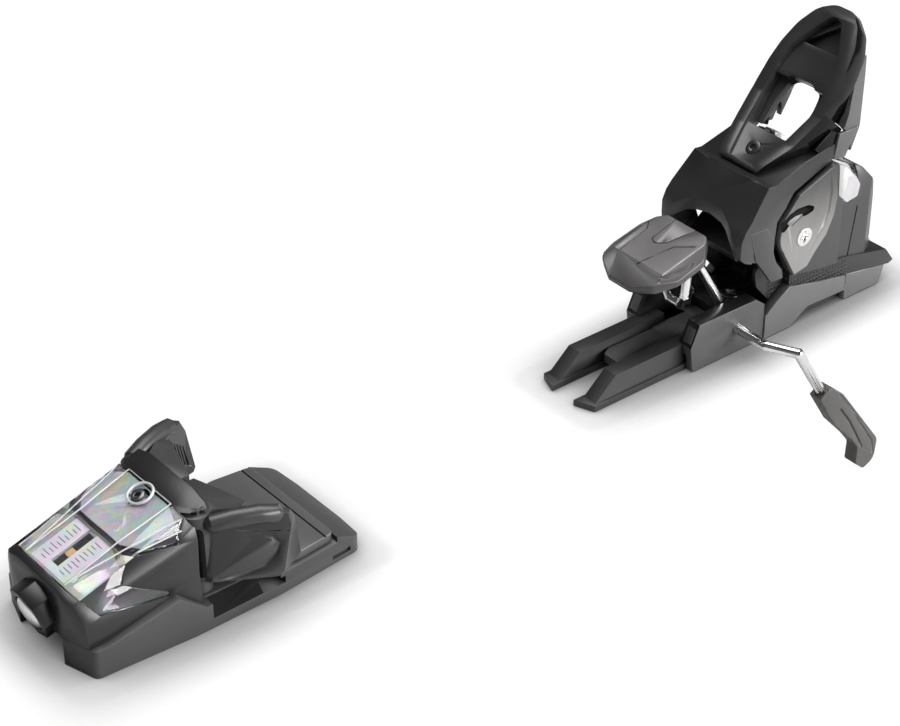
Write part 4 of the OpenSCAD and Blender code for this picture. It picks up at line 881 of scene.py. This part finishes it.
def stage_finish(name):
    made = bpy.data.materials.new(name)
    made.use_nodes = True
    tree = made.node_tree
    tree.nodes.clear()
    return made, tree, tree.nodes.new("ShaderNodeOutputMaterial")


def seen(tree):
    """1 for what the camera sees straight or through glass, and 0 for all other light."""
    path = node(tree, "ShaderNodeLightPath")
    return maths(tree, "MAXIMUM", path.outputs["Is Camera Ray"], path.outputs["Is Transmission Ray"])


def blend(tree, share, first, second):
    made = node(tree, "ShaderNodeMixShader")
    tree.links.new(share, made.inputs["Fac"])
    tree.links.new(first, made.inputs[1])
    tree.links.new(second, made.inputs[2])
    return made.outputs[0]


def vectors(tree, operation, first, second=None):
    made = node(tree, "ShaderNodeVectorMath", operation=operation)
    tree.links.new(first, made.inputs[0])
    if second is not None:
        made.inputs[1].default_value = second
    return made


def distance_from(tree, boxes):
    """How far a point of the sheet lies outside the nearest of some boxes."""
    place = node(tree, "ShaderNodeTexCoord")
    nearest = None
    for middle, half in boxes:
        away = vectors(tree, "SUBTRACT", place.outputs["Object"], (middle[0] * MM, middle[1] * MM, 0))
        size = vectors(tree, "ABSOLUTE", away.outputs[0])
        past = vectors(tree, "SUBTRACT", size.outputs[0], (half[0] * MM, half[1] * MM, 1.0))
        out = vectors(tree, "MAXIMUM", past.outputs[0], (0, 0, 0))
        here = vectors(tree, "LENGTH", out.outputs[0]).outputs["Value"]
        nearest = here if nearest is None else maths(tree, "MINIMUM", nearest, here)
    return nearest


def floor_paper():
    """White to the camera, with a share of the lamps' shadows; plain pale paper to all other light."""
    made, tree, end = stage_finish("floor_paper")
    paper = node(tree, "ShaderNodeBsdfDiffuse", {"Color": PAPER})
    strength = (FLOOR_LEVEL - FLOOR_SHADOW * LAMP_LEVEL) / (1 - FLOOR_SHADOW)
    glow = node(tree, "ShaderNodeEmission", {"Color": WHITE, "Strength": strength})
    share = maths(tree, "MULTIPLY", seen(tree), 1.0 - FLOOR_SHADOW)
    tree.links.new(blend(tree, share, paper.outputs[0], glow.outputs[0]), end.inputs["Surface"])
    return made


def sheet_paper():
    """To the camera, a painted shadow: a tint that is dark near the units and solid right beside them; paper
    to other light.
    """
    made, tree, end = stage_finish("sheet_paper")
    paper = node(tree, "ShaderNodeBsdfDiffuse", {"Color": PAPER})
    open_air = node(tree, "ShaderNodeBsdfTransparent")
    covered = node(tree, "ShaderNodeAmbientOcclusion", {"Distance": SHADE_REACH})
    painted_shadow = maths(tree, "POWER", covered.outputs["AO"], SHADE_POWER)
    ground = node(tree, "ShaderNodeEmission", {"Color": WHITE})
    tree.links.new(maths(tree, "MULTIPLY", painted_shadow, SHEET_LEVEL), ground.inputs["Strength"])
    film = node(tree, "ShaderNodeBsdfTransparent")
    tree.links.new(painted_shadow, film.inputs["Color"])
    away = distance_from(tree, FOOTPRINTS)
    looks = blend(tree, eased(tree, away, *SHEET_SOLID), ground.outputs[0], film.outputs[0])
    sheet = blend(tree, seen(tree), paper.outputs[0], looks)
    ended = blend(tree, eased(tree, away, *SHEET_FADE), sheet, open_air.outputs[0])
    tree.links.new(ended, end.inputs["Surface"])
    return made


def flat_sheet(name, x, y, z, size, finish):
    bpy.ops.object.select_all(action="DESELECT")
    bpy.ops.mesh.primitive_plane_add(size=1, location=(x, y, z))
    obj = bpy.context.view_layer.objects.active
    obj.scale = (size[0], size[1], 1)
    settle(obj)
    obj.name = name
    obj.data.materials.append(finish)
    return obj


flat_sheet("floor", -0.16, 0, -0.0755, (8, 8), floor_paper())
flat_sheet("shadow_sheet", -0.16, 0, -0.0004, (0.64, 0.22), sheet_paper())


# Light

AIM = Vector((-0.16, 0, 0.03))                  # m, between the two units


def softbox(name, at, to, size, power):
    lamp = bpy.data.lights.new(name, "AREA")
    lamp.shape = "RECTANGLE"
    lamp.size, lamp.size_y = size
    lamp.energy = power
    obj = bpy.data.objects.new(name, lamp)
    scene.collection.objects.link(obj)
    obj.location = at
    obj.rotation_euler = (to - Vector(at)).to_track_quat("-Z", "Y").to_euler()
    return obj


softbox("top_light", (-0.35, -0.15, 1.35), Vector((AIM.x, AIM.y, 0)), (1.2, 0.9), 20)
softbox("front_light", (1.1, 0.5, 0.7), AIM, (0.5, 0.9), 0.2)
softbox("side_light", (-0.85, 1.35, 0.62), AIM, (1.5, 0.55), 42)

world = bpy.data.worlds.new("studio")
scene.world = world
world.use_nodes = True
tree = world.node_tree
tree.nodes.clear()
end = tree.nodes.new("ShaderNodeOutputWorld")
room = node(tree, "ShaderNodeBackground", {"Color": (0.93, 0.95, 1.0, 1), "Strength": 0.08})
white = node(tree, "ShaderNodeBackground", {"Color": WHITE, "Strength": 1.0})
tree.links.new(blend(tree, seen(tree), room.outputs[0], white.outputs[0]), end.inputs["Surface"])


# Camera

eye = bpy.data.cameras.new("photo_camera")
eye.lens = 100.76
eye.sensor_width = 36.0
eye.sensor_fit = "HORIZONTAL"
eye.clip_start, eye.clip_end = 0.05, 30
camera = bpy.data.objects.new("photo_camera", eye)
scene.collection.objects.link(camera)
camera.location = (0.445, 0.7201, 0.660)
camera.rotation_euler = Vector((-0.526, -0.648, -0.551)).to_track_quat("-Z", "Y").to_euler()
scene.camera = camera
